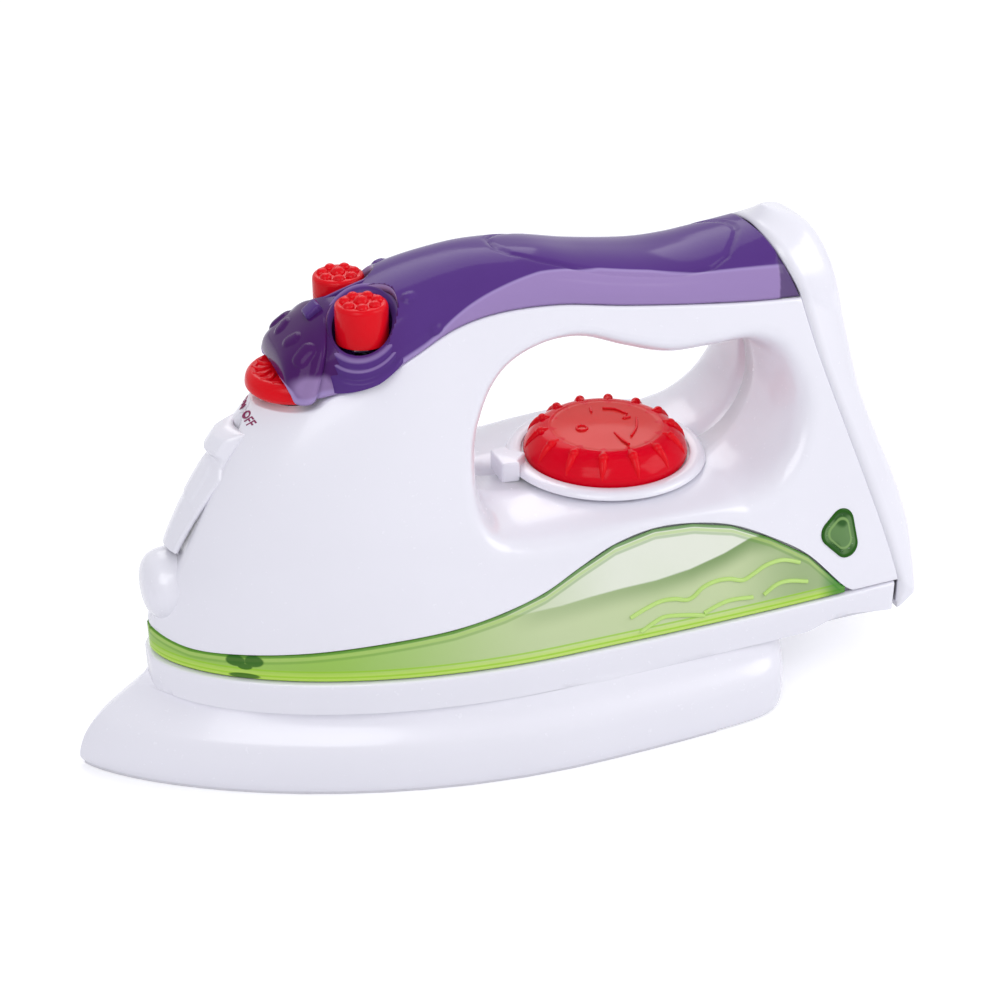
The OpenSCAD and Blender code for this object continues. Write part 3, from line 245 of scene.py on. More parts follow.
# The cover's lower edge also has its least half width, in shares of the handle's width
COVER_SEAM = [
    (0.2535, 0.754, 0.16), (0.2545, 0.749, 0.31), (0.257, 0.735, 0.38), (0.262, 0.712, 0.42),
    (0.280, 0.714, 0.44), (0.303, 0.727, 0.2), (0.325, 0.742, 0.2), (0.345, 0.755, 0.2),
    (0.388, 0.804, 0.2), (0.437, 0.854, 0.2), (0.490, 0.876, 0.2), (0.558, 0.874, 0.2),
    (0.631, 0.850, 0.2), (0.704, 0.830, 0.2), (0.748, 0.820, 0.2), (0.790, 0.811, 0.2), (0.848, 0.803, 0.2)]
COVER_TOP = [
    (0.2530, 0.758), (0.258, 0.806), (0.276, 0.843), (0.293, 0.870), (0.306, 0.889), (0.321, 0.906),
    (0.340, 0.921), (0.360, 0.937), (0.395, 0.963), (0.437, 0.984), (0.485, 0.996), (0.545, 0.987),
    (0.610, 0.955), (0.680, 0.932), (0.730, 0.932), (0.775, 0.945), (0.815, 0.959)]
SPINE = [
    (0.993, -0.088), (0.9985, -0.058), (1.000, 0.020), (0.999, 0.113), (0.985, 0.236), (0.964, 0.360),
    (0.944, 0.483), (0.932, 0.607), (0.920, 0.741), (0.904, 0.870), (0.878, 0.965), (0.835, 1.000)]
# Places round the opening, in its points, that lie over against a length share of the seam and of the tank
SEAM_LOOK = [(0.232, 2), (0.388, 2.6), (0.447, 3.2), (0.490, 4), (0.558, 4.8), (0.631, 6),
             (0.704, 7.3), (0.777, 8.6), (0.850, 9.9)]
TANK_LOOK = [(0.093, 17.6), (0.291, 17.4), (0.476, 17), (0.524, 16), (0.621, 15), (0.718, 14),
             (0.777, 13.6), (0.835, 13.3), (0.893, 13), (0.960, 12.6)]
# The heel's front edge: shares of height, then of length
HEEL_LINE = [(-0.124, 0.964), (0.003, 0.962), (0.151, 0.942), (0.432, 0.900), (0.648, 0.869), (0.803, 0.852)]


# Mesh helpers

def metres(point):
    """A place in millimetres from the nose, in the frame."""
    return Vector((point[0] - IRON_L / 2, point[1], point[2])) * MM


def placed(name, data):
    """A new object in the scene."""
    piece = bpy.data.objects.new(name, data)
    bpy.context.scene.collection.objects.link(piece)
    return piece


def finish_mesh(mesh, name, sharp=40.0, away=None):
    """Turns a bmesh into a smooth object; an open skin says which way most of it looks."""
    mesh.normal_update()
    if away is None:
        bmesh.ops.recalc_face_normals(mesh, faces=mesh.faces)
    elif sum(face.calc_area() * face.normal.dot(Vector(away)) for face in mesh.faces) < 0:
        bmesh.ops.reverse_faces(mesh, faces=mesh.faces)
    data = bpy.data.meshes.new(name)
    mesh.to_mesh(data)
    mesh.free()
    data.shade_smooth()
    data.set_sharp_from_angle(angle=math.radians(sharp))
    return placed(name, data)


def grid(columns, rows, spot, closed=False, tags=None):
    """A grid of faces whose corners go where spot(i, j) says; tags mark them for the material."""
    tags = tags or {}
    mesh = bmesh.new()
    bmesh.ops.create_grid(mesh, x_segments=columns, y_segments=rows, size=0.5)
    for key in tags:
        mesh.verts.layers.float.new(key)
    layers = [(mesh.verts.layers.float[key], rule) for key, rule in tags.items()]
    for vert in mesh.verts:
        i = round((vert.co.x + 0.5) * columns)
        j = round((vert.co.y + 0.5) * rows)
        i = i % columns if closed else i
        vert.co = metres(spot(i, j))
        for layer, rule in layers:
            vert[layer] = rule(i, j)
    if closed:
        bmesh.ops.remove_doubles(mesh, verts=mesh.verts, dist=1e-7)
    return mesh


def bake(piece):
    """Applies a piece's modifiers."""
    graph = bpy.context.evaluated_depsgraph_get()
    data = bpy.data.meshes.new_from_object(piece.evaluated_get(graph))
    old = piece.data
    piece.modifiers.clear()
    piece.data = data
    bpy.data.meshes.remove(old)


def skin(mesh, name, thickness, away, sharp=50.0):
    """Turns an open bmesh into a smooth piece of a thickness, laid inwards."""
    piece = finish_mesh(mesh, name, sharp, away)
    shell = piece.modifiers.new("wall", "SOLIDIFY")
    shell.thickness = thickness * MM
    shell.offset = -1.0
    bake(piece)
    return piece


def revolve(profile, steps=96, angle=360.0):
    """Spins a profile of (radius, height) round +Z."""
    mesh = bmesh.new()
    corners = [mesh.verts.new((r, 0, z)) for r, z in profile]
    edges = [mesh.edges.new(pair) for pair in zip(corners, corners[1:])]
    bmesh.ops.spin(mesh, geom=corners + edges, cent=(0, 0, 0), axis=(0, 0, 1), angle=math.radians(angle),
                   steps=steps, use_merge=angle == 360.0)
    bmesh.ops.remove_doubles(mesh, verts=mesh.verts, dist=1e-4)
    return mesh


def curve_profile(points, parts=6):
    """A smooth run of points through a profile."""
    return [along(points, s) for s in shares(parts * (len(points) - 1))]


def turned(degrees, axis):
    return Matrix.Rotation(math.radians(degrees), 4, axis)


def put(mesh, x, y, z, turn=None):
    """Moves a mesh made in millimetres to its place from the nose."""
    if turn:
        bmesh.ops.transform(mesh, matrix=turn, verts=mesh.verts)
    for vert in mesh.verts:
        vert.co = metres((vert.co.x + x, vert.co.y + y, vert.co.z + z))


def close_holes(mesh, above=-1.0):
    """Fills the openings that lie above a height, in the mesh's own unit."""
    edges = [e for e in mesh.edges if e.is_boundary and e.verts[0].co.z > above]
    bmesh.ops.holes_fill(mesh, edges=edges, sides=0)


def soften(mesh, edges, radius):
    """Rounds edges."""
    bmesh.ops.bevel(mesh, geom=edges, offset=radius, segments=4, profile=0.5, affect="EDGES", material=-1)


def cut(piece, cutters):
    """Cuts a piece with others, which are then removed."""
    for cutter in cutters:
        tool = piece.modifiers.new("cut", "BOOLEAN")
        tool.operation = "DIFFERENCE"
        tool.solver = "EXACT"
        tool.object = cutter
    bake(piece)
    for cutter in cutters:
        bpy.data.objects.remove(cutter)


def gather(meshes):
    """Puts several bmeshes into the first one."""
    for other in meshes[1:]:
        data = bpy.data.meshes.new("part")
        other.to_mesh(data)
        other.free()
        meshes[0].from_mesh(data)
        bpy.data.meshes.remove(data)
    return meshes[0]


def ball(radius, x, y, z, flat=1.0):
    """A bead in millimetres, flattened in height."""
    mesh = bmesh.new()
    bmesh.ops.create_uvsphere(mesh, u_segments=28, v_segments=18, radius=radius)
    bmesh.ops.scale(mesh, vec=(1, 1, flat), verts=mesh.verts)
    bmesh.ops.translate(mesh, vec=(x, y, z), verts=mesh.verts)
    return mesh


def tube(name, paths, radius, swell=None):
    """Round raised lines along paths of places in millimetres from the nose; swell gives the width's share."""
    curve = bpy.data.curves.new(name, "CURVE")
    curve.dimensions = "3D"
    curve.bevel_depth = radius * MM
    curve.bevel_resolution = 3
    curve.use_fill_caps = True
    for path in paths:
        spline = curve.splines.new("POLY")
        spline.points.add(len(path) - 1)
        for k, (point, place) in enumerate(zip(spline.points, path)):
            point.co = (*metres(place), 1)
            point.radius = swell(k / (len(path) - 1)) if swell else 1
    return curve_piece(name, curve)


def curve_piece(name, curve):
    """Makes a curve or a word a mesh object."""
    source = placed(name, curve)
    graph = bpy.context.evaluated_depsgraph_get()
    data = bpy.data.meshes.new_from_object(source.evaluated_get(graph))
    bpy.data.objects.remove(source)
    bpy.data.curves.remove(curve)
    return placed(name, data)


def near_line(x, z, points):
    """Distance from a place to a line of points, in millimetres."""
    low = 99.0
    for (ax, az), (bx, bz) in zip(points, points[1:]):
        ex, ez = bx - ax, bz - az
        t = clip(((x - ax) * ex + (z - az) * ez) / (ex * ex + ez * ez), 0, 1)
        low = min(low, math.hypot(x - ax - t * ex, z - az - t * ez))
    return low


# Materials

class Wire:
    """A socket's value in an expression: wire + a, a - wire and wire * a make the maths nodes."""

    def __init__(self, nodes, socket):
        self.nodes = nodes
        self.socket = socket

    def __add__(self, other):
        return self.nodes.maths("ADD", self, other)

    def __rsub__(self, other):
        return self.nodes.maths("SUBTRACT", other, self)

    def __mul__(self, other):
        return self.nodes.maths("MULTIPLY", self, other)


class Nodes:
    """A node tree, and short ways to fill it."""

    def __init__(self, tree):
        self.tree = tree
        tree.nodes.clear()

    def node(self, kind, settings=None, **sockets):
        """Adds a node; a socket goes by its name, or by its number after an underscore."""
        made = self.tree.nodes.new(kind)
        for key, value in (settings or {}).items():
            setattr(made, key, value)
        for key, value in sockets.items():
            socket = made.inputs[int(key[1:])] if key[0] == "_" else made.inputs[key.replace("_", " ")]
            if isinstance(value, Wire):
                self.tree.links.new(value.socket, socket)
            elif socket.type == "RGBA":
                socket.default_value = (*value, 1)
            else:
                socket.default_value = value
        return made

    def out(self, made, key=0):
        return Wire(self, made.outputs[key])

    def maths(self, operation, a, b):
        return self.out(self.node("ShaderNodeMath", {"operation": operation}, _0=a, _1=b))

    def seen_plainly(self):
        """One where the camera, a reflection or a clear piece looks."""
        path = self.node("ShaderNodeLightPath")
        seen = self.out(path, "Is Camera Ray")
        for key in ("Is Glossy Ray", "Is Transmission Ray"):
            seen = self.maths("MAXIMUM", seen, self.out(path, key))
        return seen

    def shader_mix(self, factor, a, b):
        return self.out(self.node("ShaderNodeMixShader", None, _0=factor, _1=a, _2=b))


class Finish(Nodes):
    """A material and the nodes that make it."""

    def __init__(self, name):
        self.material = bpy.data.materials.new(name)
        self.material.use_nodes = True
        super().__init__(self.material.node_tree)

    def mark(self, name):
        """What a mesh's corners are tagged with."""
        return self.out(self.node("ShaderNodeAttribute", {"attribute_name": name}), "Fac")

    def noise(self, scale, detail=3.0, rough=0.5):
        place = self.out(self.node("ShaderNodeTexCoord"), "Object")
        return self.out(self.node("ShaderNodeTexNoise", None, Vector=place, Scale=scale, Detail=detail,
                                  Roughness=rough), "Fac")

    def blend(self, factor, a, b):
        return self.out(self.node("ShaderNodeMix", {"data_type": "RGBA"}, _0=factor, _6=a, _7=b), 2)

    def step(self, value, low, high):
        return self.out(self.node("ShaderNodeMapRange", {"interpolation_type": "SMOOTHSTEP"}, _0=value,
                                  _1=low, _2=high, _3=0.0, _4=1.0))

    def stripe(self, value, low, on, off, high):
        """One between on and off, falling to none at low and high."""
        return self.step(value, low, on) * (1 - self.step(value, off, high))

    def bump(self, height, strength, distance):
        return self.out(self.node("ShaderNodeBump", None, Strength=strength, Distance=distance, Height=height))

    def result(self, shader):
        self.node("ShaderNodeOutputMaterial", None, Surface=shader)
        return self.material

    def surface(self, **sockets):
        return self.result(self.out(self.node("ShaderNodeBsdfPrincipled", None, **sockets)))


def shade(colour, share):
    """A colour made darker."""
    return tuple(share * value for value in colour)


def moulded_white(name):
    """Glossy injection-moulded plastic: a faint flow cloudiness, hairline scuffs and slow ripples."""
    f = Finish(name)
    tint = tuple(colours().shell)
    cloud = f.noise(28.0, 2.0)
    scuff = f.step(f.noise(900.0, 2.0, 0.6), 0.62, 0.8)
    return f.surface(
        Base_Color=f.blend(cloud, shade(tint, 0.96), tint), Roughness=cloud * 0.06 + scuff * 0.05 + 0.22,
        Normal=f.bump(f.noise(60.0, 1.0) + scuff * 0.04, 0.02, 0.0006),
        Coat_Weight=0.25, Coat_Roughness=0.06, Specular_IOR_Level=0.5)


def tinted_clear(name, colour_of):
    """Polished clear plastic in a tint that colour_of(finish) gives."""
    f = Finish(name)
    cloud = f.noise(40.0, 2.0)
    return f.surface(
        Base_Color=colour_of(f), Roughness=cloud * 0.05 + 0.1, IOR=1.46, Normal=f.bump(cloud, 0.02, 0.0005),
        Coat_Weight=0.02, Coat_Roughness=0.03, Specular_IOR_Level=0.1)


def control_red(name):
    """Glossy solid red of the controls."""
    f = Finish(name)
    red = tuple(colours().red)
    cloud = f.noise(70.0, 2.0)
    return f.surface(
        Base_Color=f.blend(cloud, shade(red, 0.88), red), Roughness=cloud * 0.08 + 0.14,
        Normal=f.bump(cloud, 0.03, 0.0004), Coat_Weight=0.03, Coat_Roughness=0.04, Specular_IOR_Level=0.1)


def plain_finish(name, colour, roughness, metallic=0.0):
    """Moulded, plated or coated small parts: fine grain, uneven gloss."""
    f = Finish(name)
    cloud = f.noise(220.0)
    return f.surface(
        Base_Color=f.blend(cloud, shade(colour, 0.82), colour), Roughness=cloud * 0.18 + roughness,
        Metallic=metallic, Normal=f.bump(cloud, 0.05, 0.0003))


def dress(piece, material):
    piece.data.materials.clear()
    piece.data.materials.append(material)


def fit(piece, body, slot, material, *nodes):
    """Puts a piece on its body, gives it its finish, and hides the solids that it stands for."""
    dress(piece, material)
    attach(piece, body)
    if nodes:
        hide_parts(*nodes)
    return piece


def done(*made):
    """Ends an operator, which must have made every piece with faces."""
    if not all(len(piece.data.polygons) for piece in made):
        raise RuntimeError("a piece came out empty")
    return {"FINISHED"}


# Body halves

BODY_SKIN = 1.5
HALVES_GAP = 0.06
SCREW_SPOTS = [side_point(share) for share in ((0.228, 0.34), (0.416, 0.64), (0.427, 0.13), (0.874, 0.42))]
SCREW_HOLE = 2.9
SCREW_BORE = 1.4
CUP_DEPTH = 6.0
CUP_TOP = 0.6
CUP_WALL = 0.7


def body_stations():
    """Places round the outer outline: side point, opening point, and the way the tongue goes."""
    d = sizes().density
    spots = []
    for t in shares(8 * d)[:-1]:
        look = mix(TANK_LOOK[0][1], SEAM_LOOK[0][1] + len(OPENING), t)
        spots.append((along(NOSE_LINE, t), around(OPENING, look), (0, 0)))
    for t in shares(15 * d)[:-1]:
        p = along(SEAM_LINE, t)
        up = clip((p[0] - 0.41) / 0.03, 0.1, 1)
        spots.append((p, around(OPENING, lookup(p[0], SEAM_LOOK)), (0, up * WALL)))
    for t in shares(8 * d)[:-1]:
        look = mix(SEAM_LOOK[-1][1], TANK_LOOK[-1][1], t)
        spots.append((along(REAR_LINE, t), around(OPENING, look), (0.8 * WALL, 0)))
    foot = [along(TANK_LINE[:2], t) for t in shares(3 * d)[:-1]]
    for p in foot + [along(TANK_LINE[1:], t) for t in shares(18 * d)[:-1]]:
        down = clip((0.945 - p[0]) / 0.02, 0.1, 1) * (BASE_H - 0.6 * WALL - level(p[1]))
        spots.append((p, around(OPENING, lookup(p[0], TANK_LOOK)), (0, down)))
    return spots


def body_rows():
    """Rows from the middle of the opening to the outline, over its edge and along the tongue."""
    rows = [("lip", s ** 2) for s in shares(16)[:-1]] + [("flank", s) for s in shares(34)]
    rows += [("edge", s) for s in shares(4)[1:]] + [("step", 0.0)]
    return rows + [("tongue", s) for s in shares(10)[1:]]


def body_spot(stations, rows, side):
    """Where a half's corners go: rolled lip, flank, rounded edge, step and tongue."""
    edge_r = sizes().rounding / MM

    def spot(i, j):
        p, q, way = stations[i]
        kind, s = rows[j]
        (px, pz), (qx, qz) = side_point(p), side_point(q)
        length = math.hypot(px - qx, pz - qz)
        dx, dz = (px - qx) / length, (pz - qz) / length
        lip = min(q[2] * IRON_L, 0.8 * length)
        inset, f = 0.0, 1.0
        if kind == "lip":
            reach, f = lip * s, lip_rise(s, q[3])
        elif kind == "flank":
            reach = mix(lip, length - edge_r, s)
        elif kind == "edge":
            reach = length - edge_r + edge_r * math.sin(s * math.pi / 2)
            inset = edge_r * (1 - math.cos(s * math.pi / 2))
        else:
            reach, inset = length, RECESS
        x, z = qx + dx * reach, qz + dz * reach
        if kind == "tongue":
            x, z = x + way[0] * s, z + way[1] * s
        x = max(x, nose_x(z) + inset)
        y = max(flank(x, z, inset) * f, 0)
        return x, side * (y + HALVES_GAP), z
    return spot


def body_half(name, side):
    stations, rows = body_stations(), body_rows()
    mesh = grid(len(stations), len(rows) - 1, body_spot(stations, rows, side), closed=True)
    return skin(mesh, name, BODY_SKIN, (0, side, 0))


def screw_cups():
    """Cups behind the screw holes of the far half."""
    outer, floor = SCREW_HOLE + CUP_WALL, -CUP_DEPTH - CUP_WALL
    cups = []
    for x, z in SCREW_SPOTS:
        cup = revolve([(SCREW_BORE, -CUP_DEPTH), (SCREW_HOLE, -CUP_DEPTH), (SCREW_HOLE, -CUP_TOP),
                       (outer, -CUP_TOP), (outer, floor), (SCREW_BORE, floor), (SCREW_BORE, -CUP_DEPTH)], 48)
        put(cup, x, flank(x, z), z, turned(-90, "X"))
        cups.append(cup)
    return finish_mesh(gather(cups), "screw_cups")


def screw_holes():
    """Rods across the far half, to cut its screw holes with."""
    rods = []
    for x, z in SCREW_SPOTS:
        low, high = flank(x, z) - 5, flank(x, z) + 3
        rod = revolve([(0, low), (SCREW_HOLE, low), (SCREW_HOLE, high), (0, high)], 64)
        put(rod, x, 0, z, turned(-90, "X"))
        rods.append(finish_mesh(rod, "hole"))
    return rods


class IRON_OT_body(bpy.types.Operator):
    """Builds the two moulded body halves round the handle opening"""
    bl_idname = "toy_iron.body"
    bl_label = "Body halves"

    def execute(self, context):
        shell = moulded_white("body_gloss")
        left = fit(body_half("shell_left", -1), "iron", "body_shell", shell, "body_left")
        right = body_half("shell_right", 1)
        cut(right, screw_holes())
        fit(right, "iron", "body_shell", shell, "body_right")
        fit(screw_cups(), "iron", "body_shell", shell)
        return done(left, right)


# Grip cover

CLEAR_SKIN = 1.6
# Degrees round the arch up to which the shell shows through, by the place along the iron
COVER_EDGE = [(82.7, 2), (86.3, 3), (93.6, 14), (100.9, 24), (111, 39), (125.9, 50), (137.9, 48), (150, 39),
              (162, 33), (171, 29), (176, 27)]
# Half the pad line, seen from above
GRIP_PAD = [(103.6, 0), (104.2, 3.5), (106.2, 6), (112.1, 8.8), (119.9, 10.7), (127.9, 11.7), (137.7, 12.4),
            (146.3, 12.8), (153.3, 12.6), (158, 10.7), (162, 6), (164.0, 3), (164.5, 0)]
# Raised beads: both ends, radius and height
COVER_BEADS = [
    ((56.2, 10.5, 100.4), (57.8, 10.1, 101.9), 2.0, 0.7), ((55.8, 3.6, 101.6), (56.6, 4.3, 102.5), 1.7, 0.6),
    ((80.5, 11.0, 111.2), (81.0, 11.0, 111.3), 1.3, 0.6), ((85.2, 15.6, 104.7), (85.6, 15.6, 104.7), 1.3, 0.6)]
CHEEK = (58.0, 94.5)
CHEEK_HALF = (5.5, 3.2)
PAD_LINE_W = 0.55
REAR_BAND = 169.5
REAR_BAND_STEP = 0.35
VIOLET_NOSE = (0.060, 0.006, 0.095)
VIOLET_CHEEK = (0.34, 0.23, 0.46)
VIOLET_LINE = (0.42, 0.32, 0.62)
BUTTON_X = 0.3432 * IRON_L
BUTTON_Y = 8.8
BUTTON_R = 5.9
BUTTON_TOP = level(0.947)
CUP_LOW = BUTTON_TOP - 1.75 * BUTTON_R
RIM_Z = CUP_LOW + 0.5 * BUTTON_R - 0.4
RIM_NORMAL = (0.267, 0.52, 0.874)
WELL_FLOOR = CUP_LOW - 2.8
BORE_R = 7.8
BORE_LOW = 90
BORE_HIGH = 125
TAB_SIZE = (4.2, 4.4, 3.4)
TAB_PLACE = (62.4, 0, 106.2)
TAB_LEAN = -38


def cover_place(a, angle):
    """A place of the grip cover: along its length, and round its arch in degrees."""
    seam = along(COVER_SEAM, a)
    (qx, qz), (tx, tz) = side_point(seam), side_point(along(COVER_TOP, a))
    half = max(flank(qx + 3, qz), seam[2] * HANDLE_W)
    turn = math.radians(angle)
    s = abs(math.sin(turn)) ** 0.8
    c = math.copysign(abs(math.cos(turn)) ** 0.8, math.cos(turn))
    return Vector((mix(qx, tx, s), half * c, mix(qz, tz, s)))


def cover_relief(place):
    """How far the cover's skin stands out at a place: pad line, beads and the rear band."""
    x, y, z = place
    pad = near_line(x, abs(y), GRIP_PAD)
    out = -sizes().groove / MM * math.exp(-(pad / PAD_LINE_W) ** 2)
    for low, high, radius, height in COVER_BEADS:
        low, high = Vector(low), Vector(high)
        axis = high - low
        spot = Vector((x, abs(y), z))
        t = clip((spot - low).dot(axis) / axis.length_squared, 0, 1)
        d = (spot - low - axis * t).length / radius
        out += height * math.sqrt(max(1 - d * d, 0))
    return out - REAR_BAND_STEP * soft((x - REAR_BAND) / 0.6)


def cover_spot(a, angle):
    """A place of the cover with its relief, which stands squarely on the skin."""
    place = cover_place(a, angle)
    step = 0.004
    down = cover_place(clip(a + step, 0, 1), angle) - cover_place(clip(a - step, 0, 1), angle)
    over = cover_place(a, clip(angle + 1, 0, 180)) - cover_place(a, clip(angle - 1, 0, 180))
    normal = down.cross(over)
    if normal.length > 1e-6:
        normal.normalize()
        on_top = 20 < angle < 160
        if (normal.z if on_top else normal.y * place.y) < 0:
            normal = -normal
        place += normal * cover_relief(place)
    return place


def cover_band(a, angle):
    """Degrees that a place lies inside the pale band along the lower edge."""
    return lookup(cover_place(a, angle)[0], COVER_EDGE) - min(angle, 180 - angle)


def cover_cheek(a, angle):
    """One on the pale patch low on the cover's front, falling to none round it."""
    x, _, z = cover_place(a, angle)
    away = math.hypot((x - CHEEK[0]) / CHEEK_HALF[0], (z - CHEEK[1]) / CHEEK_HALF[1])
    return 1 - soft((away - 0.6) / 0.5)


def cover_shell():
    """The cover's skin with the bores for the buttons."""
    columns, rows = 240, 128

    def at(rule):
        return lambda i, j: rule(i / columns, 180 * j / rows)

    tags = {"band": at(cover_band), "length": at(lambda a, angle: cover_place(a, angle)[0]),
            "cheek": at(cover_cheek)}
    mesh = grid(columns, rows, at(cover_spot), tags=tags)
    bmesh.ops.remove_doubles(mesh, verts=mesh.verts, dist=1e-6)
    piece = skin(mesh, "grip_cover", CLEAR_SKIN, (0, 0, 1))
    cutters = []
    for side in (-1, 1):
        bore = revolve([(0, BORE_LOW), (BORE_R, BORE_LOW), (BORE_R, BORE_HIGH), (0, BORE_HIGH)])
        put(bore, BUTTON_X, side * BUTTON_Y, 0)
        cutters.append(finish_mesh(bore, "bore"))
    cut(piece, cutters)
    return piece


COVER_LOW = [seam[:2] for seam in COVER_SEAM[3:]]
# Rows of a button well: radius, what the height counts from (seam, rim plane or floor), and the height
WELL_ROWS = [
    (10.3, "seam", 0), (10.3, "plane", -2.15), (10.15, "plane", -1.9), (9.9, "plane", -1.8),
    (9.45, "plane", -1.8), (9.3, "plane", -1.65), (9.3, "plane", -0.35), (9.2, "plane", -0.1),
    (8.95, "plane", 0), (8.7, "plane", 0), (8.6, "plane", 0.15), (8.6, "plane", 1.1), (8.45, "plane", 1.5),
    (8.1, "plane", 1.65), (7.5, "plane", 1.6), (6.9, "plane", 1.3), (6.6, "plane", 0.9), (6.6, "floor", 0),
    (2.6, "floor", 0), (2.6, "floor", -1.4), (8.9, "floor", -1.4), (8.9, "seam", 0), (10.3, "seam", 0)]
# The rows painted with pale highlight lines
WELL_HIGHLIGHT_ROWS = (7, 8, 12, 13)


def button_well(side):
    """Stepped tube round a button, with a floor under it; its rims fall outwards and forwards."""
    columns = 144

    def spot(i, j):
        radius, kind, value = WELL_ROWS[j]
        turn = math.tau * i / columns
        dx, dy = radius * math.cos(turn), radius * math.sin(turn)
        if kind == "plane":
            z = RIM_Z + value + (RIM_NORMAL[0] * dx - side * RIM_NORMAL[1] * dy) / RIM_NORMAL[2]
        elif kind == "floor":
            z = WELL_FLOOR + value
        else:
            z = level(lookup((BUTTON_X + dx) / IRON_L, COVER_LOW)) + 0.4
        return BUTTON_X + dx, side * BUTTON_Y + dy, z

    # The rim tag marks the rows that carry the painted highlight lines
    tags = {"rim": lambda i, j: float(j in WELL_HIGHLIGHT_ROWS)}
    mesh = grid(columns, len(WELL_ROWS) - 1, spot, closed=True, tags=tags)
    return finish_mesh(mesh, "button_well_" + ("near" if side < 0 else "far"), 32.0)


def violet_tint(f):
    """Dark towards the nose and on the rear band, pale along the lower edge and on the cheeks."""
    c = colours()
    band = f.mark("band")
    x = f.mark("length")
    line = f.stripe(band, -2.5, 0.0, 0.5, 4.0)
    rear = f.step(x, REAR_BAND - 0.5, REAR_BAND + 0.3)
    body = f.blend(f.noise(55.0), shade(c.violet, 0.82), c.violet)
    body = f.blend((1 - f.step(x, 58.0, 82.0)) * 0.85, body, VIOLET_NOSE)
    body = f.blend(f.mark("cheek") * 0.85, body, VIOLET_CHEEK)
    body = f.blend(f.step(band, -1.5, 1.5) * 0.85, body, c.violet_pale)
    body = f.blend(line * 0.55, body, VIOLET_LINE)
    return f.blend(rear * 0.7, body, shade(c.violet, 0.35))


def well_tint(f):
    """The cover's tint with painted highlight lines on the rims."""
    c = colours()
    body = f.blend(f.noise(60.0), shade(c.violet, 0.78), shade(c.violet, 0.95))
    # Painted highlight: the tagged rim rows take the pale edge tint
    return f.blend(f.mark("rim") * 0.5, body, c.violet_pale)


class IRON_OT_cover(bpy.types.Operator):
    """Builds the tinted grip cover with its pad line, button wells and front tab"""
    bl_idname = "toy_iron.cover"
    bl_label = "Grip cover"

    def execute(self, context):
        tint = tinted_clear("cover_clear_violet", violet_tint)
        plain = tinted_clear("well_clear_violet", well_tint)
        cover = fit(cover_shell(), "iron", "tinted_purple", tint, "handle_cover")
        for side in (-1, 1):
            fit(button_well(side), "iron", "tinted_purple", plain)
        tab = bmesh.new()
        bmesh.ops.create_cube(tab, size=1.0)
        bmesh.ops.scale(tab, vec=TAB_SIZE, verts=tab.verts)
        soften(tab, tab.edges, 0.7)
        put(tab, *TAB_PLACE, turned(TAB_LEAN, "Y"))
        fit(finish_mesh(tab, "cover_tab"), "iron", "tinted_purple", plain)
        return done(cover)


# Heel shell

HEEL_LOW = 0.72 * BASE_H
HEEL_SHOULDER = 0.7
COVER_END = side_point(COVER_SEAM[-1])
COVER_CROWN = side_point(COVER_TOP[-1])
COVER_END_W = flank(COVER_END[0] + 3, COVER_END[1])


def heel_seam(a):
    """The heel's front edge: up the side to its shoulder, then over the cover's end to the top."""
    if a < HEEL_SHOULDER:
        z = mix(HEEL_LOW, COVER_END[1], a / HEEL_SHOULDER)
        x = lookup((z - BASE_H) / (IRON_H - BASE_H), HEEL_LINE) * IRON_L - 0.2
        return x, flank(x, max(z, BASE_H)), z
    turn = math.pi / 2 * (a - HEEL_SHOULDER) / (1 - HEEL_SHOULDER)
    s, c = math.sin(turn) ** 0.8, max(math.cos(turn), 0) ** 0.8
    return (mix(COVER_END[0], COVER_CROWN[0], s) + 0.6, COVER_END_W * c,
            mix(COVER_END[1], COVER_CROWN[1], s))


def heel_shell():
    columns, rows = 150, 72

    def spot(i, j):
        """From the seam round the spine, squarer towards the foot, where the shell closes."""
        a = (i / columns) ** 1.2
        sx, sy, sz = heel_seam(a)
        bx, bz = side_point(along(SPINE, a))
        turn = math.pi * j / rows
        square = 1 - soft(a / 0.6)
        foot = math.sqrt(1 - (1 - clip(a / 0.08, 0, 1)) ** 2)
        u = foot * abs(math.sin(turn)) ** mix(0.5, 0.32, square)
        v = math.copysign(abs(math.cos(turn)) ** mix(0.42, 0.3, square), math.cos(turn))
        return mix(sx, bx, u), sy * v, mix(sz, bz, u)

    mesh = grid(columns, rows, spot)
    bmesh.ops.remove_doubles(mesh, verts=mesh.verts, dist=1e-6)
    return skin(mesh, "heel_cover", BODY_SKIN, (1, 0, 0))


class IRON_OT_heel(bpy.types.Operator):
    """Builds the white shell down the back of the handle"""
    bl_idname = "toy_iron.heel"
    bl_label = "Heel shell"

    def execute(self, context):
        shell = moulded_white("heel_gloss")
        return done(fit(heel_shell(), "iron", "heel_shell", shell, "rear_cover"))


# Tank band

TANK_EDGE = TANK_LINE[:1:-1]
TANK_FAR = 0.884 * IRON_L
TANK_LOW = BASE_H + 0.3
TANK_LEAST = 1.2
TANK_ROUND = 0.7
ROUND_ROWS = 4
# The line on the side above which the band is paler; below it the band is darkened with painted shade of the
# deep hollow behind it
TANK_ZONE = [(23, 42), (88, 42), (97.5, 40.6), (107.5, 40.8), (115, 41.5), (123, 42), (131.5, 42.2),
             (140.5, 43.2), (149.5, 45.2), (156.5, 47.5)]
# Tints of the lower part, darkened with painted shade, and of the paler upper one, each towards the nose and
# along the side
DEEP_SHADE_NOSE, DEEP_SHADE_SIDE = (0.33, 0.56, 0.10), (0.56, 0.65, 0.38)
PALE_NOSE, PALE_SIDE = (0.60, 0.68, 0.46), (0.78, 0.81, 0.70)
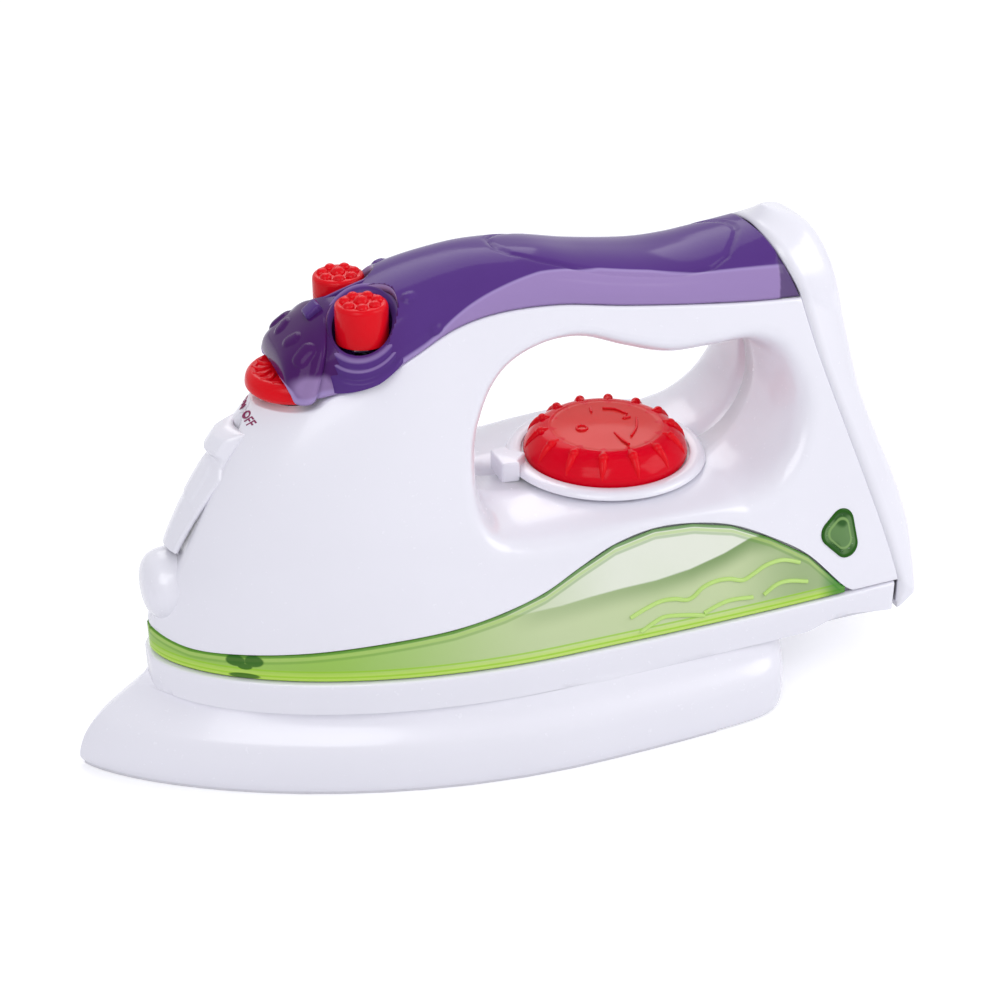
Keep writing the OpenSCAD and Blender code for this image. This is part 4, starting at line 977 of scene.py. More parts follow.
# Tints of the shaded wedge and rear tip, of the lines along both edges, and of the posts
WEDGE_SHADE, TIP_SHADE, TIP_DARK = (0.20, 0.31, 0.12), (0.25, 0.36, 0.16), (0.03, 0.22, 0.03)
FOOT_GLOW, RIM_GLOW = (0.55, 0.78, 0.12), (0.42, 0.60, 0.16)
RIM_SHADE, RIM_DARK, POST_DARK = (0.16, 0.34, 0.06), (0.07, 0.24, 0.02), (0.015, 0.11, 0.01)
WAVE_TINTS = (0.42, 0.66, 0.14), (0.60, 0.80, 0.30)
# Posts that show through the band as dark spots: place, and half sizes
POSTS = [(34.9, 33.1, 2.0, 1.5), (38.6, 33.3, 2.0, 1.5), (36.7, 31.7, 1.5, 0.8), (36.5, 29.2, 3.2, 0.8)]
WAVES = [
    [(124.5, 34.5), (128.5, 36), (132.5, 37), (136, 36.8), (139, 36), (141, 36.5), (143.5, 38.2), (147, 39),
     (150.5, 38.8), (154, 37.8), (157, 38.8), (160.5, 40.2), (165, 40.5), (169.5, 39)],
    [(127, 30.5), (130.5, 32.2), (133.5, 33), (139, 32.2), (143.5, 31.2)],
    [(143.5, 31.8), (148, 33.2), (151.5, 33.5), (156.5, 33)],
    [(159.5, 33), (163, 34.8), (166.5, 35), (171.5, 33.8)]]


def tank_edge_z(x):
    """The band's upper edge at a place along the iron."""
    return level(clip(lookup(x / IRON_L, TANK_EDGE), 0, 1)) - 0.25


def tank_column(t):
    """Place along the band: share of the way from the near rear tip round the nose to the far one."""
    t = 2 * t - 1
    return NOSE_X + (TANK_FAR - NOSE_X) * abs(t) ** 1.6, -1 if t < 0 else 1


def tank_place(t, z, inset=0.0):
    """A place on the band; an inset goes inwards at the sides and backwards at the nose."""
    x0, side = tank_column(t)
    x = x0 + max(nose_x(z) - x0, 0)
    lead = clip(1 - 4 * (x0 - NOSE_X) / IRON_L, 0, 1)
    x += inset * lead
    return x, side * flank(x, z, inset), z


def tank_shell():
    columns, rows = 560, 48

    def top(i):
        return max(tank_edge_z(tank_column(i / columns)[0]), TANK_LOW + TANK_LEAST)

    def spot(i, j):
        """Straight up the side, with a quarter round at each edge."""
        high = top(i)
        r = min(TANK_ROUND, (high - TANK_LOW) / 2)
        to_edge = min(j, rows - j)
        if to_edge >= ROUND_ROWS:
            share = (j - ROUND_ROWS) / (rows - 2 * ROUND_ROWS)
            return tank_place(i / columns, mix(TANK_LOW + r, high - r, share))
        turn = math.pi / 2 * (1 - to_edge / ROUND_ROWS)
        inwards, up = r * (1 - math.cos(turn)), r * (1 - math.sin(turn))
        return tank_place(i / columns, TANK_LOW + up if j < ROUND_ROWS else high - up, inwards)

    def boss(i, j):
        """Distance from the nearest post, in shares of its size."""
        x, _, z = spot(i, j)
        return min(math.hypot((x - px) / w, (z - pz) / h) for px, pz, w, h in POSTS)

    tags = {
        "zone": lambda i, j: spot(i, j)[2] - lookup(spot(i, j)[0], TANK_ZONE),
        "rim": lambda i, j: top(i) - spot(i, j)[2],
        "foot": lambda i, j: spot(i, j)[2] - TANK_LOW,
        "length": lambda i, j: spot(i, j)[0],
        "boss": boss}
    return skin(grid(columns, rows, spot, tags=tags), "tank_band", CLEAR_SKIN, (-1, 0, 0))


def tank_waves():
    """Raised wave lines on both sides of the band."""
    paths = []
    for side in (-1, 1):
        for line in WAVES:
            paths.append([(x, side * (flank(x, z) + 0.02), z) for x, z in curve_profile(line, 8)])
    return tube("tank_waves", paths, sizes().wave_rise / MM * 0.75)


def lime_tint(f):
    """What shows through the band: a lower part darkened with painted shade, a paler upper one, and its thick
    edges' lines.
    """
    c = colours()
    zone, rim, foot, x = f.mark("zone"), f.mark("rim"), f.mark("foot"), f.mark("length")
    # Painted shade: the lower part is darker where the hollow behind the band is deep, with a painted-shade
    # wedge under the pale part's edge and towards the rear tip
    under = f.blend(f.step(x, 50.0, 110.0), DEEP_SHADE_NOSE, DEEP_SHADE_SIDE)
    under = f.blend(f.step(x, 148.0, 172.0) * 0.7, under, TIP_SHADE)
    dark = f.step(zone, -5.5, -0.2) * (f.step(x, 96.0, 160.0) * 0.6 + 0.35) * f.step(x, 92.0, 104.0)
    under = f.blend(dark, under, WEDGE_SHADE)
    over = f.blend(f.step(x, 96.0, 125.0), PALE_NOSE, PALE_SIDE)
    tint = f.blend(f.step(zone, -0.25, 0.25), under, over)
    tint = f.blend(f.step(f.noise(26.0, 2.0), 0.35, 0.75) * 0.12, tint, c.lime)
    tint = f.blend((1 - f.step(foot, 1.2, 3.6)) * 0.75, tint, FOOT_GLOW)
    lines = f.stripe(foot, 1.0, 1.25, 1.45, 1.7) + f.stripe(foot, 2.5, 2.75, 2.95, 3.2)
    tint = f.blend(lines * 0.7, tint, c.lime_deep)
    tint = f.blend((1 - f.step(foot, 0.2, 0.6)) * 0.8, tint, c.lime_deep)
    tint = f.blend(f.stripe(rim, 0.55, 0.75, 1.2, 1.6) * 0.6, tint, RIM_GLOW)
    tint = f.blend(f.stripe(rim, 1.3, 1.6, 1.9, 2.3) * 0.45, tint, RIM_SHADE)
    tint = f.blend((1 - f.step(rim, 0.35, 0.6)) * 0.8, tint, RIM_DARK)
    tint = f.blend(f.step(x, 174.0, 180.0) * 0.8, tint, TIP_DARK)
    return f.blend((1 - f.step(f.mark("boss"), 0.85, 1.1)) * 0.85, tint, POST_DARK)


class IRON_OT_tank(bpy.types.Operator):
    """Builds the tinted tank band round the body with its wave lines"""
    bl_idname = "toy_iron.tank"
    bl_label = "Tank band"

    def execute(self, context):
        tint = tinted_clear("tank_clear_lime", lime_tint)
        lines = tinted_clear("wave_clear_lime", lambda f: f.blend(f.noise(60.0), *WAVE_TINTS))
        band = fit(tank_shell(), "iron", "tinted_green", tint, "water_tank")
        fit(tank_waves(), "iron", "tinted_green", lines)
        return done(band)


# Base skirt

BASE_SKIN = 1.2
# Rings of the flare from the sole up: how far each lies inside the sole's side, nose and rear, and its height
SKIRT_RINGS = [(1.6, 2.0, -2.2, 0.1), (0.4, 0.6, -3.4, 0.8), (0.0, 0.0, -4.0, 3.0), (0.4, 1.648, -4.2, 7.73),
               (1.4, 4.944, -4.0, 12.04), (4.2, 9.888, -4.2, 15.79), (5.4, 15.244, -5.6, 19.6)]
CREASE_Z = 0.7 * BASE_H
DECK_Z = 0.79 * BASE_H
BAND_L = 0.963 * IRON_L
BAND_LEAD = 0.3 * WALL
# Rows of the band under the tank: inset and height
BAND_ROWS = [(0.0, 20.0), (0.0, 21.6), (0.0, 23.4), (0.0, 25.4), (0.0, 27.3), (0.08, 27.65), (0.3, 27.9),
             (0.65, 28.0), (1.8, 28.0), (2.0, 27.0), (2.0, 24.0)]
SOLE_BELLY = 0.67 * SOLE_L
SOLE_TAPER = 0.065
FOOT_LIFT = 2.6
LIFT_IN = (171, 10)
LIFT_OUT = (180, 22)


def spread(t):
    """A share of the length that puts the places closer together at the nose and the rear."""
    return 2 * t * t if t < 0.5 else 1 - (2 - 2 * t) ** 2.4 / 2


def sole_place(share, side, ring):
    """A place of a ring: a pointed nose, widest at the belly, and a squared rear end."""
    flare, nose, rear, z = ring
    x = nose + (SOLE_L - nose - rear) * spread(share)
    q = clip((x - nose) / (SOLE_BELLY - nose), 0, 1)
    r = clip((x - SOLE_BELLY) / (SOLE_L - rear - SOLE_BELLY), 0, 1)
    half = (SOLE_W / 2 - flare) * max(1 - (1 - q) ** 1.91, 0) ** 0.787 * (1 - SOLE_TAPER * r * r)
    return x, side * half * math.sqrt(max(1 - r ** 16, 0)), z


def band_place(share, side, inset, z):
    """A place of the band, which follows the body; its underside lifts a little behind the sole."""
    x0 = NOSE_X - BAND_LEAD + inset
    x = x0 + (BAND_L - inset - x0) * spread(share)
    r = clip((x - SOLE_L) / (BAND_L - inset - SOLE_L), 0, 1)
    lift = FOOT_LIFT * (soft((x - LIFT_IN[0]) / LIFT_IN[1]) - soft((x - LIFT_OUT[0]) / LIFT_OUT[1]))
    keep = clip((BASE_H - z) / (BASE_H - CREASE_Z), 0, 1)
    y = flank(x + BAND_LEAD, BASE_H, inset - BAND_LEAD) * math.sqrt(max(1 - r ** 60, 0))
    return x, side * y, z + lift * keep


def skirt_shell():
    """The flare from the sole up and the band over it, as one skin."""
    columns = 360
    rings = curve_profile(SKIRT_RINGS, 7)

    def spot(i, j):
        t = i / columns
        share, side = (2 * t, 1) if t < 0.5 else (2 - 2 * t, -1)
        if j < len(rings):
            return sole_place(share, side, rings[j])
        return band_place(share, side, *BAND_ROWS[j - len(rings)])

    mesh = grid(columns, len(rings) + len(BAND_ROWS) - 1, spot, closed=True)
    close_holes(mesh, DECK_Z * MM)
    return skin(mesh, "base_flare", BASE_SKIN, (0, 0, 1), 38.0)


class IRON_OT_skirt(bpy.types.Operator):
    """Builds the flared base under the tank band"""
    bl_idname = "toy_iron.skirt"
    bl_label = "Base skirt"

    def execute(self, context):
        shell = moulded_white("base_gloss")
        return done(fit(skirt_shell(), "iron", "base_shell", shell, "base_skirt"))


# Nozzle and filler trim on the nose

KNOB_Z = level(0.187)
KNOB_R = 0.042 * IRON_L
KNOB_PROUD = 0.014 * IRON_L
KNOB_DEEP = 0.076 * IRON_L
TRIM_LOW = level(0.300)
TRIM_HIGH = level(0.607)
TRIM_SKIN = 0.6


def nose_at(y, z, proud):
    """The nose's place along the iron at a side place and a height, so much in front of the body."""
    s = 1 - (1 - min(abs(y) / half_width(z), 1) ** 1.7) ** 0.5
    return nose_x(z) - proud + s * (run(z) + proud)


def hump(v, low, high, edge):
    """One between low and high, with ramps inside them."""
    return clip((v - low) / edge, 0, 1) * clip((high - v) / edge, 0, 1)


def trim_half(t):
    """Half the trim's width at a share of its height."""
    return mix(mix(0.66, 1, clip(t / 0.68, 0, 1)) * 0.034, 0.027, soft((t - 0.63) / 0.1)) * IRON_L


def trim_proud(c, t):
    """How far the trim stands out: a thin plate with a raised panel and the hood's lip at the top."""
    panel = soft(hump(t, 0.4, 0.75, 0.05)) * soft(hump(c, -0.6, 0.6, 0.15))
    lip = soft(hump(t, 0.76, 1.03, 0.09)) * soft(hump(c, -1.08, 1.08, 0.3))
    return 0.25 * WALL + 0.2 * WALL * panel + 1.25 * WALL * lip


def filler_trim():
    """Hood and tongue as one skin that follows the nose, with its edge turned down into the body."""
    columns, rows = 84, 128

    def spot(i, j):
        inside = 0 < i < columns and 0 < j < rows
        c = clip((i - 1) / (columns - 2), 0, 1) * 2 - 1
        t = clip((j - 1) / (rows - 2), 0, 1)
        y, z = c * trim_half(t), mix(TRIM_LOW, TRIM_HIGH, t)
        edge = min((1 - abs(c)) * trim_half(t), min(t, 1 - t) * (TRIM_HIGH - TRIM_LOW))
        proud = trim_proud(c, t) - 0.5 * (1 - clip(edge / 0.5, 0, 1)) ** 2 if inside else -0.7
        return nose_at(y, z, proud), y, z

    return skin(grid(columns, rows, spot), "filler_lid", TRIM_SKIN, (-1, 0, 0), 36.0)


def nozzle():
    """A domed knob on the nose."""
    r, deep = KNOB_R, KNOB_DEEP
    face = curve_profile([(0, 0), (0.35 * r, 0.02 * r), (0.62 * r, 0.1 * r), (0.83 * r, 0.26 * r),
                          (0.95 * r, 0.48 * r), (r, 0.78 * r)])
    mesh = revolve(face + [(r, deep - 2), (r + 1.2, deep), (0, deep)], 144)
    put(mesh, nose_x(KNOB_Z) - KNOB_PROUD, 0, KNOB_Z, turned(90, "Y"))
    return finish_mesh(mesh, "nozzle_dome", 30.0)


class IRON_OT_nose(bpy.types.Operator):
    """Builds the spray nozzle and the filler trim on the nose"""
    bl_idname = "toy_iron.nose"
    bl_label = "Nozzle and filler trim"

    def execute(self, context):
        shell = moulded_white("nose_gloss")
        knob = fit(nozzle(), "iron", "nozzle_plastic", shell, "spray_nozzle")
        lid = fit(filler_trim(), "iron", "trim_plastic", shell, "filler_trim")
        return done(knob, lid)


# Dial

DIAL_X = 0.648 * IRON_L
DECK_TOP = level(0.329)
BEZEL_R = 1.22 * DIAL_R
BEZEL_LOW = DECK_TOP + 0.15
DIAL_LOW = BEZEL_LOW + 0.5 * WALL + 0.3
RIBS = 14
# The ribs' line down the cap, in shares of its radius and height
RIB_LINE = [(0.7, 0.89), (0.77, 0.845), (0.85, 0.725), (0.93, 0.515), (0.985, 0.27)]


def dial_cap():
    """A cap with a rounded side and a sunk face; its tag says how far out the face goes."""
    r, h = DIAL_R, DIAL_H
    flank_line = curve_profile([(r, 0.12 * h), (0.985 * r, 0.3 * h), (0.93 * r, 0.55 * h), (0.85 * r, 0.76 * h),
                                (0.77 * r, 0.88 * h), (0.7 * r, 0.93 * h)], 7)
    rim = [(mix(0.7 * r, 0.66 * r, t), mix(0.93 * h, 0.905 * h, t)) for t in (0.4, 0.8, 1.0)]
    face = [(0.66 * r * (1 - t), mix(0.905 * h, 0.97 * h, soft(t)))
            for t in (0.05, 0.1, 0.2, 0.35, 0.5, 0.75, 1.0)]
    foot = [(0, 1.0), (r - 2, 1.0), (r - 2, 0), (r - 0.2, 0)]
    profile = foot + flank_line + rim + face
    columns = 252

    def spot(i, j):
        turn = math.tau * i / columns
        radius, z = profile[j]
        return DIAL_X + radius * math.cos(turn), radius * math.sin(turn), DIAL_LOW + z

    def ring(i, j):
        """Distance from the middle, less between the ribs, so that the face's edge is toothed."""
        if j < len(foot):
            return r
        return profile[j][0] + 1.6 * max(-math.cos(RIBS * math.tau * i / columns), 0) ** 2

    mesh = grid(columns, len(profile) - 1, spot, closed=True, tags={"ring": ring})
    return finish_mesh(mesh, "dial_cap", 50.0)


def dial_ribs():
    """Drop-shaped ribs over the cap's rim, each with a bead at its top."""
    r, h, bead = DIAL_R, DIAL_H, sizes().rib_rise / MM
    drops, beads = [], []
    for k in range(RIBS):
        turn = math.tau * (k + 0.5) / RIBS

        def at(radius, z):
            return DIAL_X + radius * math.cos(turn), radius * math.sin(turn), DIAL_LOW + z

        drops.append([at(s * r, lookup(s, RIB_LINE) * h) for s in [mix(0.7, 0.985, t) for t in shares(20)]])
        drop = ball(0.95 * bead, 0, 0, 0)
        put(drop, *at(0.8 * r, 0.83 * h))
        beads.append(drop)

    def swell(s):
        return max(math.sin(math.pi * (0.1 + 0.88 * s)), 0.02) ** 0.7

    return tube("dial_ribs", drops, 0.85 * bead, swell), finish_mesh(gather(beads), "dial_beads")


def dial_marks():
    """Raised lines on the face: an arc, a hook and an arrow, a small ring and two strokes."""
    top = DIAL_LOW + 0.955 * DIAL_H
    arc = [(2.7, 8.2), (5.5, 6.6), (7.1, 3.2)]
    hook = [(8.3, 0.4), (6.1, -4.4), (3.1, -8.0)]
    ring = [(-6.3 + 1.3 * math.cos(math.tau * s), 1.3 * math.sin(math.tau * s)) for s in shares(24)]
    lines = [curve_profile(arc, 8), curve_profile(hook, 8), ring]
    lines += [[(-0.1, 9.4), (-0.7, 7.2)], [(5.1, 1.0), (7.1, 1.4)], [(5.1, 1.0), (6.4, 2.4)],
              [(0.1, -5), (0.3, -9), (0.9, -11.8)]]
    paths = [[(DIAL_X + dx, dy, top) for dx, dy in line] for line in lines]
    return tube("dial_marks", paths, 0.32)


# Darker and paler red of the face, and of the side
FACE_REDS = (0.66, 0.028, 0.024), (0.71, 0.040, 0.034)
SIDE_REDS = (0.64, 0.0, 0.010), (0.74, 0.001, 0.016)
# The pointer from above, with the dial's middle at nought
POINTER = [(-28.4, -4.2), (-24, -4.8), (-24, -3), (-20.8, 0), (-24, 3), (-24, 4.8), (-28.4, 4.2)]
POINTER_H = 4.8


def bezel():
    """The ring round the dial, with the pointer in front of it."""
    r, lip = BEZEL_R, DIAL_R + 0.6
    ring = curve_profile([(r, 0.8), (r, 1.0), (0.985 * r, 1.7), (0.955 * r, 2.15), (0.92 * r, 2.3)], 5)
    mesh = revolve([(0, 0), (0.88 * r, 0)] + ring + [(lip + 0.3, 2.3), (lip, 2.1), (lip, 1.0), (0, 1.0)], 180)
    pointer = bmesh.new()
    face = pointer.faces.new([pointer.verts.new((x, y, 0)) for x, y in POINTER])
    raised = [part for part in bmesh.ops.extrude_face_region(pointer, geom=[face])["geom"]
              if isinstance(part, bmesh.types.BMVert)]
    bmesh.ops.translate(pointer, vec=(0, 0, POINTER_H), verts=raised)
    soften(pointer, [e for e in pointer.edges if max(v.co.z for v in e.verts) > POINTER_H / 2], 0.55)
    whole = gather([mesh, pointer])
    put(whole, DIAL_X, 0, BEZEL_LOW)
    return finish_mesh(whole, "dial_ring", 35.0)


def dial_tint(f):
    """A paler face inside the darker side."""
    ring = f.mark("ring")
    face = f.blend(f.noise(90.0), *FACE_REDS)
    side = f.blend(f.noise(70.0), *SIDE_REDS)
    return f.blend(f.step(ring, 13.2, 14.0), face, side)


class IRON_OT_dial(bpy.types.Operator):
    """Builds the click dial with its marks and the white ring with the pointer"""
    bl_idname = "toy_iron.dial"
    bl_label = "Dial and ring"

    def execute(self, context):
        white = moulded_white("ring_gloss")
        red = tinted_clear("dial_clear_red", dial_tint)
        lines = control_red("mark_red")
        cap = fit(dial_cap(), "dial", "tinted_red", red, "dial_knob")
        for part in (dial_marks(), *dial_ribs()):
            fit(part, "dial", "tinted_red", lines)
        ring = fit(bezel(), "iron", "bezel_plastic", white, "dial_bezel")
        return done(cap, ring)


# Push buttons

BUTTON_BEADS = 7


def push_button(name, side):
    """A cup with a rounded rim, a ring of beads on its top and one in the middle."""
    r, h = BUTTON_R, BUTTON_TOP - CUP_LOW
    rim = curve_profile([(r, 0.7 * h), (0.985 * r, 0.79 * h), (0.92 * r, 0.845 * h), (0.8 * r, 0.865 * h),
                         (0.6 * r, 0.85 * h), (0.3 * r, 0.87 * h)], 5)
    body = revolve([(0, 0.62 * h), (0.76 * r, 0.62 * h), (0.78 * r, 0), (r, 0)] + rim + [(0, 0.88 * h)])
    bead_r, out, flat = 0.235 * r, 0.62 * r, sizes().bead_rise / MM / (0.235 * r)
    beads = [ball(0.3 * r, 0, 0, h - 0.3 * r)]
    for k in range(BUTTON_BEADS):
        turn = math.tau * k / BUTTON_BEADS
        beads.append(ball(bead_r, out * math.cos(turn), out * math.sin(turn), 0.84 * h, flat))
    whole = gather([body] + beads)
    put(whole, BUTTON_X, side * BUTTON_Y, CUP_LOW)
    return finish_mesh(whole, name, 35.0)


class IRON_OT_buttons(bpy.types.Operator):
    """Builds the two push buttons with their beads"""
    bl_idname = "toy_iron.buttons"
    bl_label = "Push buttons"

    def execute(self, context):
        red = control_red("button_red")
        steam = fit(push_button("button_near", -1), "steam_push", "red_plastic", red, "steam_button")
        spray = fit(push_button("button_far", 1), "spray_push", "red_plastic", red, "spray_button")
        return done(steam, spray)


# Lever

LEVER_X = 0.2785 * IRON_L
LEVER_Z = level(0.690)
LEVER_R = 11.2
LEVER_T = 4.7
LEVER_SWEEP = 76
RIDGE_ANGLES = (-44, -22, 0, 22, 44)
RIDGE_BEND = math.radians(9)


def lever():
    """The front part of a disc with a rounded edge."""
    r, t = LEVER_R, LEVER_T
    rim = curve_profile([(0.92 * r, 0), (r, 0.22 * t), (r, 0.5 * t), (0.965 * r, 0.74 * t),
                         (0.89 * r, 0.92 * t), (0.81 * r, 0.96 * t), (0.74 * r, 0.9 * t)], 5)
    bore = 0.38 * r
    profile = [(bore, 0)] + rim + [(0.6 * r, 0.9 * t), (bore, 0.9 * t), (bore, 0)]
    mesh = revolve(profile, angle=2 * LEVER_SWEEP)
    close_holes(mesh)
    put(mesh, LEVER_X, 0, LEVER_Z, turned(180 - LEVER_SWEEP, "Z"))
    return finish_mesh(mesh, "lever_front", 35.0)


def lever_ridges():
    """Bent ridges on the lever's top, for the finger."""
    paths = []
    for angle in RIDGE_ANGLES:
        path = []
        for s in shares(12):
            turn = math.radians(180 + angle) + RIDGE_BEND * math.sin(math.pi * s)
            radius = mix(0.5, 0.84, s) * LEVER_R
            path.append((LEVER_X + radius * math.cos(turn), radius * math.sin(turn), LEVER_Z + 0.9 * LEVER_T))
        paths.append(path)
    return tube("lever_ridges", paths, 0.5)


class IRON_OT_lever(bpy.types.Operator):
    """Builds the ON and OFF lever under the front of the grip cover"""
    bl_idname = "toy_iron.lever"
    bl_label = "Lever"

    def execute(self, context):
        red = control_red("lever_red")
        front = fit(lever(), "lever", "red_plastic", red, "switch_lever")
        fit(lever_ridges(), "lever", "red_plastic", red)
        return done(front)


# Lenses

LENS_X = 0.876 * IRON_L
LENS_Z = level(0.18)
LENS = [(LENS_X + dx, LENS_Z + dz) for dx, dz in ((-1.5, 0.3), (1.2, 2.5), (2.1, -3.2), (-1.5, 0.3))]
LENS_R = 3.4
LENS_GAP = 0.15
LENS_SKIN = 0.5
# The dome's dark green with pale mottled swirls of painted highlight, a pale painted-highlight stroke, and the
# dark rim
LENS_DOME_AND_HIGHLIGHT = (0.035, 0.11, 0.025), (0.13, 0.25, 0.09)
LENS_HIGHLIGHT_STROKE = (0.25, 0.42, 0.14)
LENS_RIM = (0.02, 0.10, 0.008)
# Rows of a lens from its edge inwards: share of the outline's distance, and height above the side
LENS_ROWS = [(1.0, -1.0), (1.0, 0.1), (0.985, 0.28), (0.95, 0.4), (0.9, 0.42), (0.84, 0.3), (0.78, 0.12),
             (0.74, 0.06)]
LENS_ROWS += [(0.7 * (1 - s), mix(0.06, 0.75, math.sin(s * math.pi / 2))) for s in shares(10)]


def lens_depth(x, z):
    """How far inside the lens outline a side place lies, in millimetres (negative is outside)."""
    inside = all((bx - ax) * (z - az) < (bz - az) * (x - ax) for (ax, az), (bx, bz) in zip(LENS, LENS[1:]))
    away = near_line(x, z, LENS)
    return LENS_R + away if inside else LENS_R - away


def lens_edge(turn, cx, cz):
    """Distance from a lens's middle to its outline, one way."""
    low, high = 0.0, 12.0
    for _ in range(24):
        middle = (low + high) / 2
        if lens_depth(cx + middle * math.cos(turn), cz + middle * math.sin(turn)) > LENS_GAP:
            low = middle
        else:
            high = middle
    return low


def lens(name, side):
    """A lens with a rounded rim and a low dome inside it."""
    columns = 96
    cx, cz = [sum(corner[k] for corner in LENS[:3]) / 3 for k in (0, 1)]
    edges = [lens_edge(math.tau * i / columns, cx, cz) for i in range(columns)]

    def spot(i, j):
        turn = math.tau * i / columns
        share, lift = LENS_ROWS[j]
        x = cx + share * edges[i] * math.cos(turn)
        z = cz + share * edges[i] * math.sin(turn)
        return x, side * (flank(x, z) + lift), z

    mesh = grid(columns, len(LENS_ROWS) - 1, spot, closed=True, tags={"rim": lambda i, j: LENS_ROWS[j][0]})
    return skin(mesh, name, LENS_SKIN, (0, side, 0))


def lens_tint(f):
    """A dark rim round a dome with painted highlights: pale mottled swirls and a pale stroke."""
    rim = f.mark("rim")
    # Painted highlight: the pale swirls and the pale stroke stand for light on the dome
    swirl = f.step(f.noise(150.0, 1.0, 0.4), 0.46, 0.56)
    inner = f.blend(swirl, *LENS_DOME_AND_HIGHLIGHT)
    inner = f.blend(f.stripe(rim, 0.52, 0.58, 0.62, 0.68) * 0.8, inner, LENS_HIGHLIGHT_STROKE)
    return f.blend(f.step(rim, 0.80, 0.88), inner, LENS_RIM)


class IRON_OT_lenses(bpy.types.Operator):
    """Builds the two green indicator lenses"""
    bl_idname = "toy_iron.lenses"
    bl_label = "Lenses"

    def execute(self, context):
        green = tinted_clear("lens_clear_green", lens_tint)
        near = fit(lens("lens_near", -1), "iron", "lens_green", green, "lens_left")
        far = fit(lens("lens_far", 1), "iron", "lens_green", green, "lens_right")
        return done(near, far)


# ON and OFF letters

# Each word's start on the nose in the front view, its run and its rise
WORDS = [("OFF", (-0.9, 84.9), (-4.2, -1.6), (-1.0, 1.4)), ("ON", (4.6, 85.9), (-3.2, -1.1), (-0.9, 1.4))]


def word(text, start, width, height):
    """A word laid over the nose: from its start, along its width and up its height, in the front view."""
    curve = bpy.data.curves.new("word_" + text, "FONT")
    curve.body = text
    curve.extrude = 0.05
    curve.offset = 0.01
    piece = curve_piece("word_" + text, curve)
    wide = max(v.co.x for v in piece.data.vertices)
    tall = max(v.co.y for v in piece.data.vertices)
    for vert in piece.data.vertices:
        u, v = vert.co.x / wide, vert.co.y / tall
        proud = 0.1 if vert.co.z > 0 else -0.3
        y = start[0] + u * width[0] + v * height[0]
        z = start[1] + u * width[1] + v * height[1]
        vert.co = metres((nose_at(y, z, proud), y, z))
    return piece


class IRON_OT_letters(bpy.types.Operator):
    """Lays the ON and OFF letters on the nose"""
    bl_idname = "toy_iron.letters"
    bl_label = "ON and OFF letters"

    def execute(self, context):
        ink = plain_finish("letter_ink", tuple(colours().letters), 0.4)
        return done(*[fit(word(*row), "iron", "body_shell", ink) for row in WORDS])


# Inner and lower parts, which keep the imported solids

# Finish, colour, roughness, how metallic, and the solids that wear it
INNER = [
    ("wheel_cream", (0.75, 0.70, 0.52), 0.45, 0.0, ("click_wheel",)),
    ("switch_grey", (0.06, 0.06, 0.07), 0.5, 0.0, ("power_switch", "tact_switches", "speaker")),
    ("chip_black", (0.012, 0.012, 0.014), 0.4, 0.0, ("switch_slider", "sound_chip")),
    ("board_coat", (0.015, 0.10, 0.035), 0.35, 0.0, ("button_board", "main_board", "lamp_board")),
    ("lamp_resin", (0.45, 0.75, 0.35), 0.15, 0.0, ("indicator_lamps",)),
    ("cell_sleeve", (0.09, 0.10, 0.13), 0.3, 0.0, ("batteries",)),
    ("plated_steel", (0.55, 0.55, 0.57), 0.28, 1.0, (
        "dial_screw", "lever_screw", "battery_screw", "body_screws", "base_screws", "sole_screws",
        "board_screws", "click_spring", "steam_spring", "spray_spring", "battery_contacts", "battery_springs")),
    ("sole_satin", (0.72, 0.71, 0.76), 0.34, 0.0, ("sole_plate", "battery_door"))]


class IRON_OT_inner(bpy.types.Operator):
    """Gives the small inner parts, the sole and the screws their finishes"""
    bl_idname = "toy_iron.inner"
    bl_label = "Inner parts and sole"

    def execute(self, context):
        for name, colour, roughness, metallic, nodes in INNER:
            finish = plain_finish(name, colour, roughness, metallic)
            for node in nodes:
                dress(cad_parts[node], finish)
        return {"FINISHED"}


# Stage

# Each lamp's place, size and power
LAMPS = [("key", (-0.55, -0.75, 0.85), 0.7, 5.0), ("side", (0.75, -0.45, 0.55), 0.6, 3.6),
         ("back", (0.15, 0.75, 0.9), 0.8, 4.4)]
TARGET = Vector((0.0031, 0.0, 0.0503))
AZIMUTH = math.radians(-20.8)
ELEVATION = math.radians(29.12)
DISTANCE = 0.4453
LENS_LENGTH = 66.37
SENSOR_WIDTH = 36.0
SKY = (0.93, 0.94, 1.0)
SKY_POWER = 0.50
FLOOR_GLOW = 0.32
FLOOR_HALF = 6.0
WHITE = (1.0, 1.0, 1.0)


def sky():
    """A dim sky that lights the scene, and a white one where it is seen."""
    world = bpy.data.worlds.new("studio")
    world.use_nodes = True
    n = Nodes(world.node_tree)
    dim = n.out(n.node("ShaderNodeBackground", None, Color=SKY, Strength=SKY_POWER))
    white = n.out(n.node("ShaderNodeBackground", None, Color=WHITE))
    n.node("ShaderNodeOutputWorld", None, Surface=n.shader_mix(n.seen_plainly(), dim, white))
    return world


def floor_finish():
    """Pale and matt, with a glow where it is seen, so that it meets the white sky."""
    f = Finish("floor_pale")
    tone = f.blend(f.noise(3.0, 1.0), (0.80, 0.80, 0.82), (0.82, 0.82, 0.84))
    matt = f.out(f.node("ShaderNodeBsdfDiffuse", None, Color=tone))
    glow = f.out(f.node("ShaderNodeEmission", None, Color=WHITE, Strength=FLOOR_GLOW))
    bright = f.out(f.node("ShaderNodeAddShader", None, _0=matt, _1=glow))
    return f.result(f.shader_mix(f.seen_plainly(), matt, bright))


